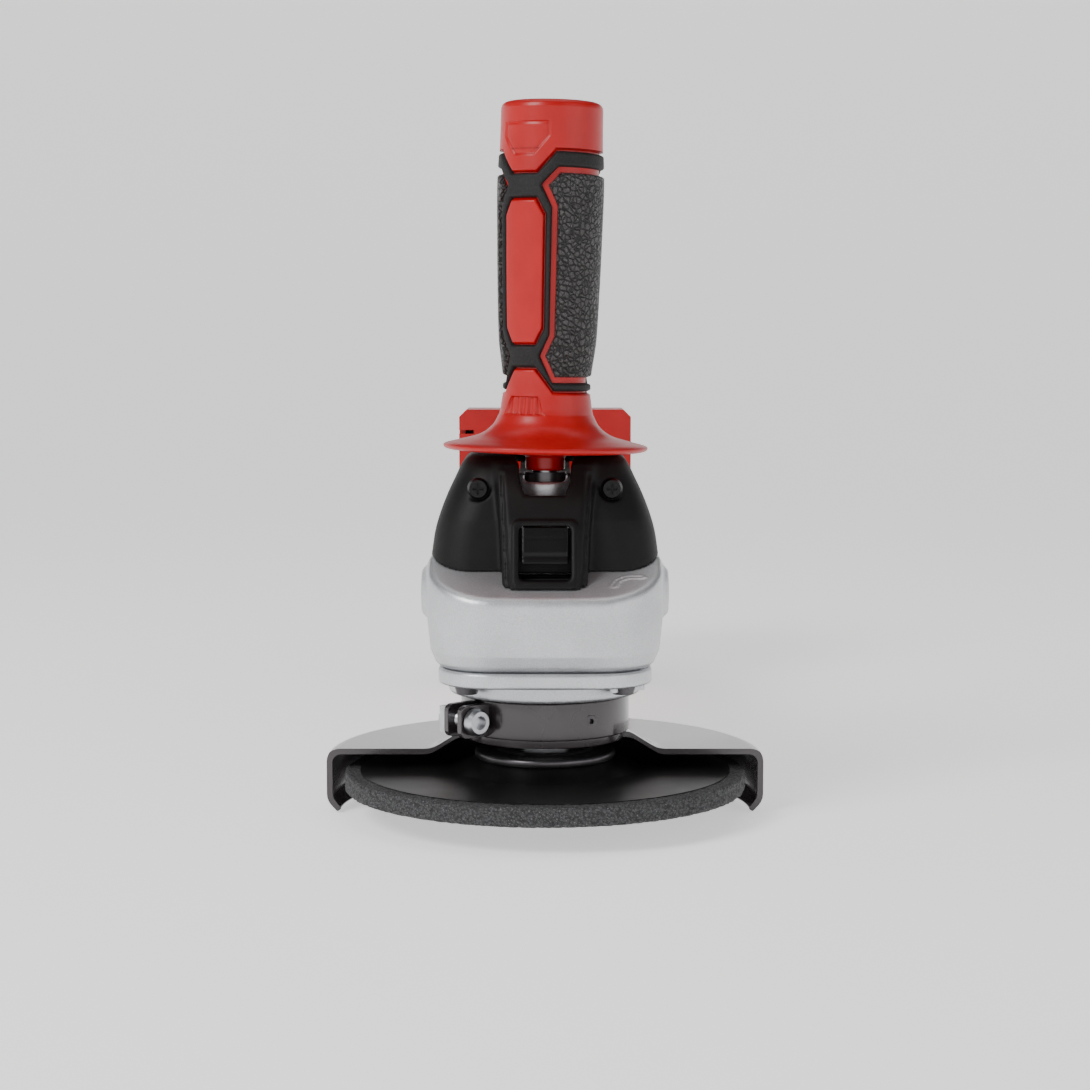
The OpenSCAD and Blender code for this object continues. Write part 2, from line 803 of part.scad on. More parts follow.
// Stator core with six poles
module stator() {
    ring_t = 3.5;
    color(dark_steel) on_axis(stator_y) {
        ring(stator_r, stator_r - ring_t, stator_len);
        for (a = [0:60:300])
            rotate([0, 0, a]) {
                translate([stator_bore_r + 0.3, -1.8, 0])
                    cube([stator_r - ring_t - stator_bore_r, 3.6, stator_len]);
                intersection() {
                    ring(stator_bore_r + 1.6, stator_bore_r, stator_len);
                    translate([0, -6, 0]) cube([stator_r, 12, stator_len]);
                }
            }
    }
}

// A copper winding round each pole
module stator_coils() {
    coil_t = 1.6;
    in_r = stator_bore_r + 1.7;
    len = stator_r - 4.1 - in_r;
    color(copper) on_axis(stator_y)
        for (a = [30:60:330])
            rotate([0, 0, a + 30]) difference() {
                translate([in_r, -1.8 - coil_t, -coil_t])
                    cube([len, 3.6 + 2 * coil_t, stator_len + 2 * coil_t]);
                translate([in_r - 1, -1.8, 0]) cube([len + 2, 3.6, stator_len]);
            }
}

// Sensor board behind the rotor
module motor_board() {
    color([0.1, 0.35, 0.2]) on_axis(board_y) ring(22, 8, 1.6);
}

// Corners of the switch block
switch_lo = [-8, 128.4, axis_z - 2];
switch_hi = [8, 158, axis_z + 17];

// Outside profile of the casing as radius against distance along the tool
casing_profile = [[motor_r, head_rear_y], [motor_r, casing_end_y], [grip_r, grip_start_y],
    [grip_r, 205], [motor_r - 1, foot_y]];

// Solid of revolution of the casing, shrunk by an inset
module casing_solid(inset) {
    on_axis(0) rotate_extrude()
        polygon(concat([[0, head_rear_y]], [for (p = casing_profile) [p[0] - inset, p[1]]],
            [[0, foot_y]]));
}

// Places of the casing's screws along the tool, as distance and height from the axis
screw_places = [[110, -20], [116, 12], [150, -18], [195, -18], [222, 17]];

// One half of the motor casing and grip, on the +X side
module body_shell() {
    boss_r = 3.6;
    difference() {
        union() {
            difference() {
                union() {
                    casing_solid(0);
                    // Lugs for the screws into the gear housing
                    for (z = flange_screw_z) translate([flange_screw_x, head_rear_y, z])
                        rotate([-90, 0, 0]) cylinder(r = flange_lug_r, h = lug_t);
                }
                casing_solid(wall);
            }
            intersection() {
                casing_solid(0);
                union() {
                    // Ribs that hold the stator, the rear bearing and the switch
                    on_axis(stator_y + 3) ring(motor_r - 0.5, stator_r, 4);
                    on_axis(stator_y + stator_len - 7) ring(motor_r - 0.5, stator_r, 4);
                    on_axis(rear_bearing_y) ring(motor_r - 0.5, rear_bearing_r, rear_bearing_t);
                    on_axis(rear_bearing_y + rear_bearing_t) ring(motor_r - 0.5, 6, 1.6);
                    // Ribs that hold the switch and the control board
                    on_axis(140) cylinder(r = grip_r - 0.5, h = 3);
                    on_axis(176) cylinder(r = grip_r - 0.5, h = 3);
                    for (p = screw_places) translate([0, p[0], axis_z + p[1]]) rotate([0, 90, 0])
                        cylinder(r = boss_r, h = 60, $fn = 32);
                }
            }
        }
        // Keep only the +X half
        block([-80, 0, 0], [0, 300, 160]);
        // Seats of the switch and the control board, and a way for the switch's rod
        block(switch_lo, switch_hi);
        block(board_lo, board_hi);
        block(sink_lo, sink_hi);
        block([-1, 139, axis_z - 20], [12, 180, axis_z - 6]);
        block([-1, 83, axis_z + 17], [3.2, 107, axis_z + 26.4]);
        for (z = flange_screw_z) translate([flange_screw_x, head_rear_y - cut, z])
            rotate([-90, 0, 0]) {
            cylinder(r = 2, h = lug_t + 1, $fn = 32);
            translate([0, 0, lug_t + cut]) cylinder(r = 4.2, h = 8, $fn = 40);
        }
        // Screw holes with countersunk heads
        for (p = screw_places) translate([0, p[0], axis_z + p[1]]) rotate([0, 90, 0]) {
            translate([0, 0, -cut]) cylinder(r = 1.5, h = 60, $fn = 32);
            translate([0, 0, 12]) cylinder(r = 3.2, h = 60, $fn = 32);
        }
        // Air outlets beside the fan and inlets in front of the grip
        for (i = [0:4], y = [[fan_y + 1, fan_y + 8], [92.6, 97.4]])
            block([10, y[0], vent_z + i * vent_pitch], [50, y[1], vent_z + vent_h + i * vent_pitch]);
        // Opening for the slide switch on top
        block([-7, 80, axis_z + 24], [6.4, 96, axis_z + 40]);
    }
}

// Right half of the casing
module body_shell_right() {
    color(red) body_shell();
}

// Left half of the casing
module body_shell_left() {
    color(red) mirror([1, 0, 0]) body_shell();
}

// Soft cover over one half of the rear grip
module grip_cover() {
    t = 1.6;
    from_y = grip_start_y + 2;
    difference() {
        on_axis(from_y) ring(grip_r + t, grip_r, 205 - from_y);
        block([-80, 0, 0], [6, 300, 160]);
        for (p = screw_places) translate([10, p[0], axis_z + p[1]]) rotate([0, 90, 0])
            cylinder(r = 3.2, h = 60, $fn = 32);
    }
}

// Soft cover on the right
module grip_cover_right() {
    color(black) grip_cover();
}

// Soft cover on the left
module grip_cover_left() {
    color(black) mirror([1, 0, 0]) grip_cover();
}

// Screws that join the casing's halves, put in from the right
module shell_screws() {
    color(dark_steel)
        for (p = screw_places) translate([12, p[0], axis_z + p[1]]) rotate([0, 90, 0])
            screw(1.5, 20, 2.9, 2);
}

// Sliding switch knob on top of the motor casing
module switch_knob() {
    half_w = 8.5;
    from_y = 84.4;
    low_z = axis_z + motor_r + gap;
    color(black) difference() {
        union() {
            translate([-half_w, 0, 0]) rotate([90, 0, 90]) linear_extrude(2 * half_w)
                polygon([[from_y - 4, low_z], [from_y + 16, low_z], [from_y + 14, low_z + 3.4],
                    [from_y + 4, low_z + 3.9], [from_y - 2, low_z + 1.6]]);
            block([-5.9, knob_key_y, rod_z + rod_t], [5.9, knob_key_y + 6.8, low_z + 1]);
        }
        for (i = [0:3]) block([-half_w - 1, from_y + 3 + i * 2.6, low_z + 2.9],
            [half_w + 1, from_y + 4 + i * 2.6, low_z + 6]);
    }
}

// Push rod from the knob back to the switch
module switch_rod() {
    color(black) {
        block([-5.4, knob_key_y + 0.6, rod_z], [5.4, knob_key_y + 6.8, rod_z + rod_t]);
        block([-2.6, 95, rod_z], [2.6, 109, rod_z + rod_t]);
        block([-2.6, 106.5, axis_z + 17.5], [2.6, 109, axis_z + 25]);
        block([-2.6, 106.5, axis_z + 17.5], [2.6, 128, axis_z + 20.1]);
        block([-2.6, 126.3, axis_z + 12.5], [2.6, 128, axis_z + 18]);
    }
}

// Switch block in the grip
module switch_unit() {
    color([0.2, 0.2, 0.22]) difference() {
        block(switch_lo, switch_hi);
        block([-9, 134, axis_z + 13], [9, 136, axis_z + 20]);
    }
}

// Control board with its cooling plate and capacitor
module control_board() {
    color([0.1, 0.35, 0.2]) union() {
        block(board_lo, board_hi);
        block(sink_lo, sink_hi);
        translate([0, 196, axis_z + 9]) rotate([-90, 0, 0]) cylinder(r = 5.5, h = 18, $fn = 32);
    }
}

// Contact block in the battery foot
module terminal_block() {
    color(black) block([-11, foot_y + 8, 52], [11, foot_rear_y - 2.5, 72]);
    color(copper) for (x = contact_x)
        block([x - 0.5, foot_rear_y - 3, 56], [x + 0.5, foot_rear_y + 4.4, 68]);
}

// Battery foot with two T-shaped rails behind it
module battery_foot() {
    half_w = foot_w / 2;
    edge = 3;
    skin = 2.5;
    color(red) difference() {
        union() {
            translate([0, foot_rear_y, 0]) rotate([90, 0, 0]) linear_extrude(foot_depth)
                polygon([[-half_w, foot_z + 8], [-half_w + 8, foot_z], [half_w - 8, foot_z],
                    [half_w, foot_z + 8], [half_w, foot_top_z - edge],
                    [half_w - edge, foot_top_z], [-half_w + edge, foot_top_z],
                    [-half_w, foot_top_z - edge]]);
            for (m = [0, 1]) mirror([m, 0, 0]) {
                block([rail_x, foot_rear_y - 1, rail_z],
                    [rail_x + rail_web_w, foot_rear_y + rail_out, rail_top_z]);
                block([rail_x, foot_rear_y + 3, rail_z],
                    [rail_x + rail_w, foot_rear_y + rail_out, rail_top_z]);
            }
        }
        // Hollow inside, open towards the casing
        difference() {
            block([-half_w + skin, foot_y + skin, foot_z + 8], [half_w - skin, foot_rear_y - skin,
                foot_top_z - skin]);
            block([-14, foot_rear_y - 7, foot_z], [14, foot_rear_y, foot_z + 14]);
        }
        on_axis(foot_y - 1) cylinder(r = motor_r - 1 - wall, h = 1 + skin + cut);
        // Window for the contacts
        block([-10.5, foot_rear_y - 5, 53], [10.5, foot_rear_y + 1, 71]);
        // Groove for the latch's hook
        block([-11, foot_rear_y - 3.2, foot_z - 1], [11, foot_rear_y + 1, foot_z + 10]);
        // Slot at the upper left
        block([-half_w - 1, foot_y - 1, 105.6], [-half_w + 6, foot_y + 4, 107.2]);
    }
}

// Battery pack's case, with grooves for the foot's rails
module battery_case() {
    skin = 2;
    round = 5;
    rear_y = pack_y + pack_depth;
    color(black) difference() {
        translate([0, 0, pack_z]) linear_extrude(pack_top_z - pack_z)
            polygon(concat([[pack_w, pack_y], [-pack_w, pack_y]],
                arc(round - pack_w, rear_y - round, round, 180, 90),
                arc(pack_w - round, rear_y - round, round, 90, 0)));
        block([-pack_w + skin, pack_y + 9, pack_z + skin], [pack_w - skin, rear_y - skin,
            pack_top_z - skin]);
        for (m = [0, 1]) mirror([m, 0, 0]) {
            block([rail_x - gap, pack_y - 1, rail_z - gap],
                [rail_x + rail_web_w + gap, foot_rear_y + rail_out + gap, 130]);
            block([rail_x - gap, foot_rear_y + 3 - gap, rail_z - gap],
                [rail_x + rail_w + gap, foot_rear_y + rail_out + gap, 130]);
        }
        // Slot over the contacts, open at the top
        block([-10, pack_y - 1, 54], [10, foot_rear_y + 5, 130]);
        // Space for the latch
        block([-latch_w - gap, pack_y - 1, latch_z - gap],
            [latch_w + gap, pack_y + 8.4, latch_z + 17]);
        block([-hook_w - gap, pack_y - 1, latch_z + 16], [hook_w + gap, pack_y + 8.4, latch_z + 29]);
        // Hole for the charge button
        translate([charge_x, rear_y - 6, charge_z]) rotate([-90, 0, 0]) cylinder(r = 4.3, h = 20, $fn = 40);
    }
}

// Ten cells lying across the pack, with a wrap between them
module battery_cells() {
    color([0.15, 0.35, 0.6]) for (y = [0, 1], i = [0:4])
        translate([-cell_len / 2 + 1, pack_y + 20 + y * (cell_pitch + 0.3), cell_z + i * cell_pitch])
            rotate([0, 90, 0]) cylinder(r = cell_r, h = cell_len - 2, $fn = 40);
}

// Contact springs inside the pack's slot
module battery_contacts() {
    color(copper) for (x = contact_x, m = [-1, 1])
        block([x + m * 1.5 - 0.4, pack_y + 0.6, 56], [x + m * 1.5 + 0.4, foot_rear_y + 5, 66]);
}

// Latch slider: a press plate below the foot with a hook above it
module battery_latch() {
    color(red) union() {
        block([-latch_w, pack_y - 2, latch_z], [latch_w, pack_y + 4, latch_z + 15]);
        block([-hook_w, pack_y - 2, latch_z + 14], [hook_w, pack_y + 4, latch_z + 25]);
    }
}

// Button that shows the charge
module charge_button() {
    rear_y = pack_y + pack_depth;
    color(red) translate([charge_x, rear_y - 4, charge_z]) rotate([-90, 0, 0])
        cylinder(r = 4.3 - gap, h = 5, $fn = 40);
}

// Outer radius of the handle against height
handle_profile = [[13.9, grip_lo_z - 1.5], [13.4, grip_lo_z + 2], [14.9, 144.7], [15.6, 160.2],
    [16, 175.6], [16.2, 194.8], [15.9, grip_hi_z], [15.7, handle_top_z - 2]];

// Part of that profile over the soft grip, shrunk by an inset
function grip_band(inset) = [for (p = handle_profile)
    if (p[1] > grip_lo_z && p[1] <= grip_hi_z) [p[0] - inset, p[1]]];

// Leans children with the grip about the foot of the handle
module lean() {
    translate([0, 0, handle_z]) rotate([0, handle_lean, 0]) translate([0, 0, -handle_z]) children();
}

// Eight-sided window prism on one side of the grip
module window_prism(half_w, low, high) {
    c = 4;
    rotate([0, 0, window_turn - 90]) rotate([90, 0, 90]) linear_extrude(30)
        polygon([[-half_w, low + c], [c - half_w, low], [half_w - c, low], [half_w, low + c],
            [half_w, high - c], [half_w - c, high], [c - half_w, high], [-half_w, high - c]]);
}

// Both windows of the grip
module window_pair(half_w, low, high) {
    for (a = [0, 180]) rotate([0, 0, a]) window_prism(half_w, low, high);
}

// Solid of revolution of the handle from its neck to its cap, with the grip's band shrunk
module handle_body(inset) {
    stop_z = 111.7;
    lean() rotate_extrude()
        polygon(concat([[0, handle_z], [neck_in_r, handle_z], [neck_in_r, stop_z - 3],
            [12, stop_z - 2], [26, stop_z - 1.5], [stop_r - 0.8, stop_z - 0.9],
            [stop_r, stop_z], [stop_r - 0.8, stop_z + 0.9], [26, stop_z + 1.9],
            [20, stop_z + 3.5], [16.3, stop_z + 6.3], [14.4, stop_z + 10]],
            [[13.9, grip_lo_z - 1.5], [13.9 - inset, grip_lo_z - 1]],
            grip_band(inset),
            [[15.9 - inset, grip_hi_z + 0.5], [15.9, grip_hi_z + 1], [15.7, handle_top_z - 2],
            [14.9, handle_top_z - 0.6], [13.5, handle_top_z], [0, handle_top_z]]));
}

// Half width and ends of the grip's windows, where the hard core shows
window_w = 6.6;
window_lo_z = 143;
window_hi_z = 187.5;

// Hard core of the handle: neck, hand stop, grip core and cap
module handle_core() {
    color(red) difference() {
        union() {
            handle_body(grip_depth);
            intersection() {
                handle_body(0.7);
                lean() window_pair(window_w, window_lo_z, window_hi_z);
            }
        }
        translate([0, 0, handle_z - 1]) cylinder(r = stud_r, h = 24 + 1);
    }
}

// Soft textured grip over the core, with its two windows
module handle_grip() {
    color(black) difference() {
        intersection() {
            handle_body(0);
            lean() translate([0, 0, grip_lo_z]) cylinder(r = 30, h = grip_hi_z - grip_lo_z);
        }
        handle_body(grip_depth);
        lean() window_pair(window_w, window_lo_z, window_hi_z);
    }
}

// M8 stud moulded into the handle
module handle_stud() {
    color(steel) translate([0, 0, socket_top_z - socket_depth + 1])
        cylinder(r = stud_r, h = handle_z + 24 - socket_top_z + socket_depth - 1);
}

// Loose collar between the handle and its socket
module handle_collar() {
    color(dark_steel) translate([0, 0, socket_top_z + gap]) ring(collar_r, stud_r + fit, collar_t);
}

grinding_disc();
disc_label();
inner_flange();
outer_nut();
spindle();
crown_gear();
lower_bearing_outer();
lower_bearing_inner();
upper_bearing();
bearing_cover();
bearing_cover_screws();
gear_housing();
head_cover();
head_cover_screws();
housing_screws();
guard();
clamp_band();
clamp_screw();
clamp_nut();
band_screw();
lock_button();
lock_pin();
lock_spring();
pinion_gear();
motor_shaft();
rotor();
cooling_fan();
front_motor_bearing_outer();
front_motor_bearing_inner();
rear_motor_bearing_outer();
rear_motor_bearing_inner();
air_baffle();
stator();
stator_coils();
motor_board();
body_shell_left();
body_shell_right();
grip_cover_left();
grip_cover_right();
shell_screws();
switch_knob();
switch_rod();
switch_unit();
control_board();
terminal_block();
battery_foot();
battery_case();
battery_cells();
battery_contacts();
battery_latch();
charge_button();
handle_core();
handle_grip();
handle_stud();
handle_collar();
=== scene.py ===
"""Looks of a cordless angle grinder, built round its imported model."""
import json
import math

import bmesh
import bpy
import numpy as np
from bpy.props import FloatProperty, FloatVectorProperty, PointerProperty
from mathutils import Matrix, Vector


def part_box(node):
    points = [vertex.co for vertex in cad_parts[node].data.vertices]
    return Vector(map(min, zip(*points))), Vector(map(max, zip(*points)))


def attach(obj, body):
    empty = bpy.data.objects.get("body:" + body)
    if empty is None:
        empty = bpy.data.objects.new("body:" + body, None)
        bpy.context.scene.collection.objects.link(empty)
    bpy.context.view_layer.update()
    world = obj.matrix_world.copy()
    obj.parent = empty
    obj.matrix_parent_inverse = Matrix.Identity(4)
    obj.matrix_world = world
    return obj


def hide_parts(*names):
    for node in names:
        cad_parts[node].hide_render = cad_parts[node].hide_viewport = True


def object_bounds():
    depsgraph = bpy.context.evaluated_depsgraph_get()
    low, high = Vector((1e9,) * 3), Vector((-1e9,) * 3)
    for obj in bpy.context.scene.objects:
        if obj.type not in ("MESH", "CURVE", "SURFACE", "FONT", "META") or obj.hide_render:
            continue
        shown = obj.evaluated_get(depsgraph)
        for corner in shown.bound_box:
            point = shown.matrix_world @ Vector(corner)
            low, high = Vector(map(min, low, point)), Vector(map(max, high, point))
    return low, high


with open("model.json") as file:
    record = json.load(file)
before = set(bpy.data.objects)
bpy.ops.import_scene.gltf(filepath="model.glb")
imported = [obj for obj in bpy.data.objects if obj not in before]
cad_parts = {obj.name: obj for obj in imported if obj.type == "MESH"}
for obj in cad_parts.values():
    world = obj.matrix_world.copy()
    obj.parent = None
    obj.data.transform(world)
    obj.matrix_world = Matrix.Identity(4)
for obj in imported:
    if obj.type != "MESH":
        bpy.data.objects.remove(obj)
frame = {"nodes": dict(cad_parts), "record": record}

bl_info = {
    "name": "Angle Grinder Looks",
    "version": (1, 0, 0),
    "blender": (4, 5, 0),
    "location": "View3D > Sidebar > Grinder",
    "description": "Dresses the packed angle grinder with detailed pieces and finishes",
    "category": "Add Mesh",
}

MM = 0.001
CAD_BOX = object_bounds()
NODE_SLOTS = {row["node"]: row["material_slot"] for row in frame["record"]["subparts"]}
FINISH_PREFIX = "finish_"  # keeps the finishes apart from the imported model's own materials


def span(node):
    """Lowest and highest corner of a node, in millimetres."""
    low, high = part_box(node)
    return np.array(low) / MM, np.array(high) / MM


# ---------------------------------------------------------------- shader expressions

class Value:
    """A shader socket that can be used in ordinary sums."""

    def __init__(self, graph, socket):
        self.graph = graph
        self.socket = socket

    def math(self, operation, *others):
        values = dict(enumerate((self,) + others))
        return self.graph.value("ShaderNodeMath", {"operation": operation}, values)

    def __add__(self, other):
        return self.math("ADD", other)

    def __radd__(self, other):
        return self.math("ADD", other)

    def __rsub__(self, other):
        return self.graph.value("ShaderNodeMath", {"operation": "SUBTRACT"}, {0: other, 1: self})

    def __mul__(self, other):
        return self.math("MULTIPLY", other)

    def __rmul__(self, other):
        return self.math("MULTIPLY", other)

    def band(self, low, high):
        """0 below low, 1 above high, smooth between."""
        return self.graph.value("ShaderNodeMapRange", {"interpolation_type": "SMOOTHSTEP"},
                                {"Value": self, "From Min": low, "From Max": high})


class Graph:
    """The node tree of one material, with its shader."""

    def __init__(self, name):
        self.material = bpy.data.materials.new(FINISH_PREFIX + name)
        self.material.use_nodes = True
        self.tree = self.material.node_tree
        self.tree.nodes.clear()
        output = self.tree.nodes.new("ShaderNodeOutputMaterial")
        self.shader = self.tree.nodes.new("ShaderNodeBsdfPrincipled")
        self.tree.links.new(self.shader.outputs[0], output.inputs[0])
        self.place = self.value("ShaderNodeTexCoord", output="Object")

    def node(self, kind, settings=None, inputs=None):
        node = self.tree.nodes.new(kind)
        for name, setting in (settings or {}).items():
            setattr(node, name, setting)
        for key, value in (inputs or {}).items():
            self.connect(node.inputs[key], value)
        return node

    def value(self, kind, settings=None, inputs=None, output=0):
        return Value(self, self.node(kind, settings, inputs).outputs[output])

    def connect(self, socket, value):
        if isinstance(value, Value):
            self.tree.links.new(value.socket, socket)
        else:
            socket.default_value = value

    def noise(self, scale, detail=3.0, roughness=0.55, place=None):
        """Cloud noise with features about 1 / scale metres across."""
        return self.value("ShaderNodeTexNoise", None, {
            "Vector": place or self.place, "Scale": scale, "Detail": detail,
            "Roughness": roughness})

    def cells(self, scale, feature="F1", place=None):
        """Distance inside a pattern of cells."""
        return self.value("ShaderNodeTexVoronoi", {"feature": feature}, {
            "Vector": place or self.place, "Scale": scale}, "Distance")

    def warped(self, scale, amount):
        """Object coordinates pushed about by noise."""
        push = self.value("ShaderNodeTexNoise", None, {
            "Vector": self.place, "Scale": scale, "Detail": 2.0}, "Color")
        scaled = self.value("ShaderNodeVectorMath", {"operation": "SCALE"}, {0: push, "Scale": amount})
        return self.value("ShaderNodeVectorMath", {"operation": "ADD"}, {0: self.place, 1: scaled})

    def stretched(self, x, y, z):
        """Object coordinates scaled along each axis."""
        return self.value("ShaderNodeVectorMath", {"operation": "MULTIPLY"},
                          {0: self.place, 1: (x, y, z)})

    def mix(self, factor, first, second):
        """A colour between two colours."""
        return self.value("ShaderNodeMix", {"data_type": "RGBA"},
                          {"Factor": factor, 6: first, 7: second}, output=2)

    def bump(self, height, distance, strength=1.0):
        """A normal from a height from 0 to 1 that stands for a distance in metres."""
        return self.value("ShaderNodeBump", None, {
            "Height": height, "Distance": distance, "Strength": strength})

    def finish(self, **inputs):
        """Sets the shader's sockets, written with underscores for spaces."""
        for name, value in inputs.items():
            self.connect(self.shader.inputs[name.replace("_", " ")], value)
        return self.material


def rgba(colour, gain=1.0):
    """A colour with alpha, brightened by a gain."""
    return (*[min(1.0, c * gain) for c in colour[:3]], 1.0)


# ---------------------------------------------------------------- finishes

def silver_paint(colours):
    """Silver paint on a casting: fine metal flake with faint orange peel."""
    g = Graph("silver_paint")
    flake = g.noise(2600, 2.0)
    cloud = g.noise(60, 3.0)
    dust = g.noise(900, 4.0, 0.7)
    tone = (flake * 0.65 + cloud * 0.35).band(0.25, 0.75)
    base = g.mix(tone, rgba(colours.silver, 0.8), rgba(colours.silver, 1.12))
    return g.finish(
        Base_Color=base, Metallic=0.75, Roughness=0.3 + 0.2 * flake,
        Coat_Weight=0.12, Coat_Roughness=0.3,
        Normal=g.bump(flake * 0.5 + dust * 0.5, 0.00012, 0.55))


def black_plastic(colours, name="black_plastic", sheen=0.46):
    """Moulded black plastic with spark-eroded grain."""
    g = Graph(name)
    grain = g.noise(2400, 3.0, 0.6)
    worn = g.noise(45, 4.0, 0.6)
    base = g.mix(worn.band(0.35, 0.75), rgba(colours.black, 0.7), rgba(colours.black, 1.3))
    return g.finish(
        Base_Color=base, Roughness=sheen + 0.12 * worn, Specular_IOR_Level=0.22,
        Normal=g.bump(grain, 0.00007, 0.6))


def smooth_black(colours):
    """Smoother black plastic for keys and knobs."""
    return black_plastic(colours, "smooth_black", 0.3)


def red_plastic(colours):
    """Satin red plastic with a soft bloom."""
    g = Graph("red_plastic")
    bloom = g.noise(38, 4.0, 0.6)
    grain = g.noise(2000, 2.0)
    base = g.mix(bloom.band(0.3, 0.75), rgba(colours.red, 0.9), rgba(colours.red, 1.12))
    return g.finish(
        Base_Color=base, Roughness=0.3 + 0.14 * bloom, Coat_Weight=0.12, Coat_Roughness=0.2,
        Specular_IOR_Level=0.35, Subsurface_Weight=0.04, Subsurface_Radius=(0.002, 0.0006, 0.0004),
        Normal=g.bump(grain, 0.00004, 0.5))


def soft_black(colours):
    """Soft grip with a coarse crinkled texture like hide, with painted shade in its creases and painted
    highlights on its ridges.
    """
    g = Graph("soft_black")
    place = g.warped(330, 0.0016)
    crinkle = g.cells(620, "DISTANCE_TO_EDGE", place).band(0.0, 0.22)
    fine = g.cells(1500, "DISTANCE_TO_EDGE", g.warped(800, 0.0006)).band(0.0, 0.3)
    lump = g.noise(500, 3.0)
    height = crinkle * 0.7 + fine * 0.2 + lump * 0.3
    # Painted shade and painted highlight: the colour follows the crinkle's height, dark in the creases
    # and light on the ridges.
    base = g.mix(height.band(0.25, 1.0), rgba(colours.grip, 0.25), rgba(colours.grip, 2.4))
    return g.finish(
        Base_Color=base, Roughness=0.56 - 0.2 * crinkle, Specular_IOR_Level=0.5,
        Normal=g.bump(height, 0.0009, 1.0))


def fine_soft_black(colours):
    """Soft grip with a fine sanded texture."""
    g = Graph("fine_soft_black")
    grain = g.noise(1500, 3.0, 0.7)
    pits = g.cells(1700).band(0.0, 0.6)
    base = g.mix(grain.band(0.3, 0.8), rgba(colours.grip, 0.35), rgba(colours.grip, 0.8))
    return g.finish(
        Base_Color=base, Roughness=0.6, Specular_IOR_Level=0.3,
        Normal=g.bump(grain * 0.6 + pits * 0.4, 0.0002, 0.7))


def guard_lacquer(colours):
    """Glossy dark lacquer with slight orange peel over pressed sheet."""
    g = Graph("guard_lacquer")
    peel = g.noise(420, 2.0)
    cloud = g.noise(28, 3.0)
    base = g.mix(cloud.band(0.3, 0.7), rgba(colours.lacquer, 0.85), rgba(colours.lacquer, 1.2))
    return g.finish(
        Base_Color=base, Metallic=0.25, Roughness=0.2 + 0.1 * cloud, Coat_Weight=0.7,
        Coat_Roughness=0.12, Normal=g.bump(peel, 0.00005, 0.4))


def steel(name, colour, rough, metal=1.0, streak=(1.0, 1.0, 1.0)):
    """Machined steel with fine tool marks."""
    g = Graph(name)
    marks = g.noise(700, 4.0, 0.65, place=g.stretched(*streak))
    stain = g.noise(120, 3.0)
    base = g.mix(stain.band(0.3, 0.75), rgba(colour, 0.8), rgba(colour, 1.15))
    return g.finish(
        Base_Color=base, Metallic=metal, Roughness=rough + 0.16 * marks,
        Normal=g.bump(marks, 0.00003, 0.5))


def bright_steel(colours):
    """Turned steel."""
    return steel("bright_steel", colours.steel, 0.22, streak=(1.0, 1.0, 6.0))


def gear_steel(colours):
    """Ground steel, darker."""
    return steel("gear_steel", tuple(c * 0.7 for c in colours.steel), 0.3)


def dark_steel(colours):
    """Blackened steel with a low shine."""
    return steel("dark_steel", colours.blackened, 0.26, metal=0.85)


def abrasive(colours):
    """Bonded abrasive: sharp dark grains in resin with a few bright facets."""
    g = Graph("abrasive")
    grit = g.cells(1250)
    edge = g.cells(1250, "DISTANCE_TO_EDGE").band(0.0, 0.3)
    glint = g.noise(2300, 2.0).band(0.6, 0.72)
    base = g.mix(grit.band(0.1, 0.8), rgba(colours.grit, 1.6), rgba(colours.grit, 0.55))
    shown = g.mix(glint * 0.5, base, (0.3, 0.3, 0.31, 1.0))
    return g.finish(
        Base_Color=shown, Roughness=0.55 + 0.3 * grit, Specular_IOR_Level=0.5,
        Normal=g.bump(edge * 0.6 + grit * 0.4, 0.0004, 1.0))


def label_black(colours):
    """Smooth print on the disc, with the weave under it just showing."""
    g = Graph("label_black")
    weave = g.value("ShaderNodeTexWave", {"wave_type": "BANDS"}, {"Vector": g.place, "Scale": 190.0})
    cloud = g.noise(70, 3.0)
    base = g.mix(cloud.band(0.3, 0.8), rgba(colours.black, 0.3), rgba(colours.black, 0.9))
    return g.finish(
        Base_Color=base, Roughness=0.3 + 0.16 * cloud, Normal=g.bump(weave, 0.00002, 0.35))


def copper(_colours):
    """Enamelled winding wire."""
    g = Graph("copper")
    wire = g.value("ShaderNodeTexWave", {"wave_type": "BANDS"}, {"Vector": g.place, "Scale": 600.0})
    base = g.mix(wire, (0.35, 0.11, 0.03, 1.0), (0.75, 0.32, 0.14, 1.0))
    return g.finish(Base_Color=base, Metallic=0.9, Roughness=0.35, Normal=g.bump(wire, 0.0001))


def board_green(_colours):
    """Solder mask over copper tracks."""
    g = Graph("board_green")
    tracks = g.cells(260, "DISTANCE_TO_EDGE").band(0.02, 0.08)
    base = g.mix(tracks, (0.02, 0.16, 0.07, 1.0), (0.01, 0.09, 0.04, 1.0))
    return g.finish(Base_Color=base, Roughness=0.35, Normal=g.bump(tracks, 0.00004))


def cell_wrap(_colours):
    """Shrink wrap on a cell."""
    g = Graph("cell_wrap")
    cloud = g.noise(90, 3.0)
    base = g.mix(cloud, (0.02, 0.09, 0.25, 1.0), (0.04, 0.14, 0.34, 1.0))
    return g.finish(Base_Color=base, Roughness=0.3 + 0.2 * cloud)


def pale_floor(colours):
    """Pale studio paper."""
    g = Graph("pale_floor")
    fibre = g.noise(300, 4.0)
    base = g.mix(fibre, rgba(colours.floor, 0.985), rgba(colours.floor))
    return g.finish(Base_Color=base, Roughness=0.85, Specular_IOR_Level=0.2,
                    Emission_Color=base, Emission_Strength=0.8,
                    Normal=g.bump(fibre, 0.00004, 0.3))


FINISHES = {make.__name__: make for make in (
    silver_paint, black_plastic, smooth_black, red_plastic, soft_black, fine_soft_black,
    guard_lacquer, bright_steel, gear_steel, dark_steel, abrasive, label_black, copper,
    board_green, cell_wrap, pale_floor)}


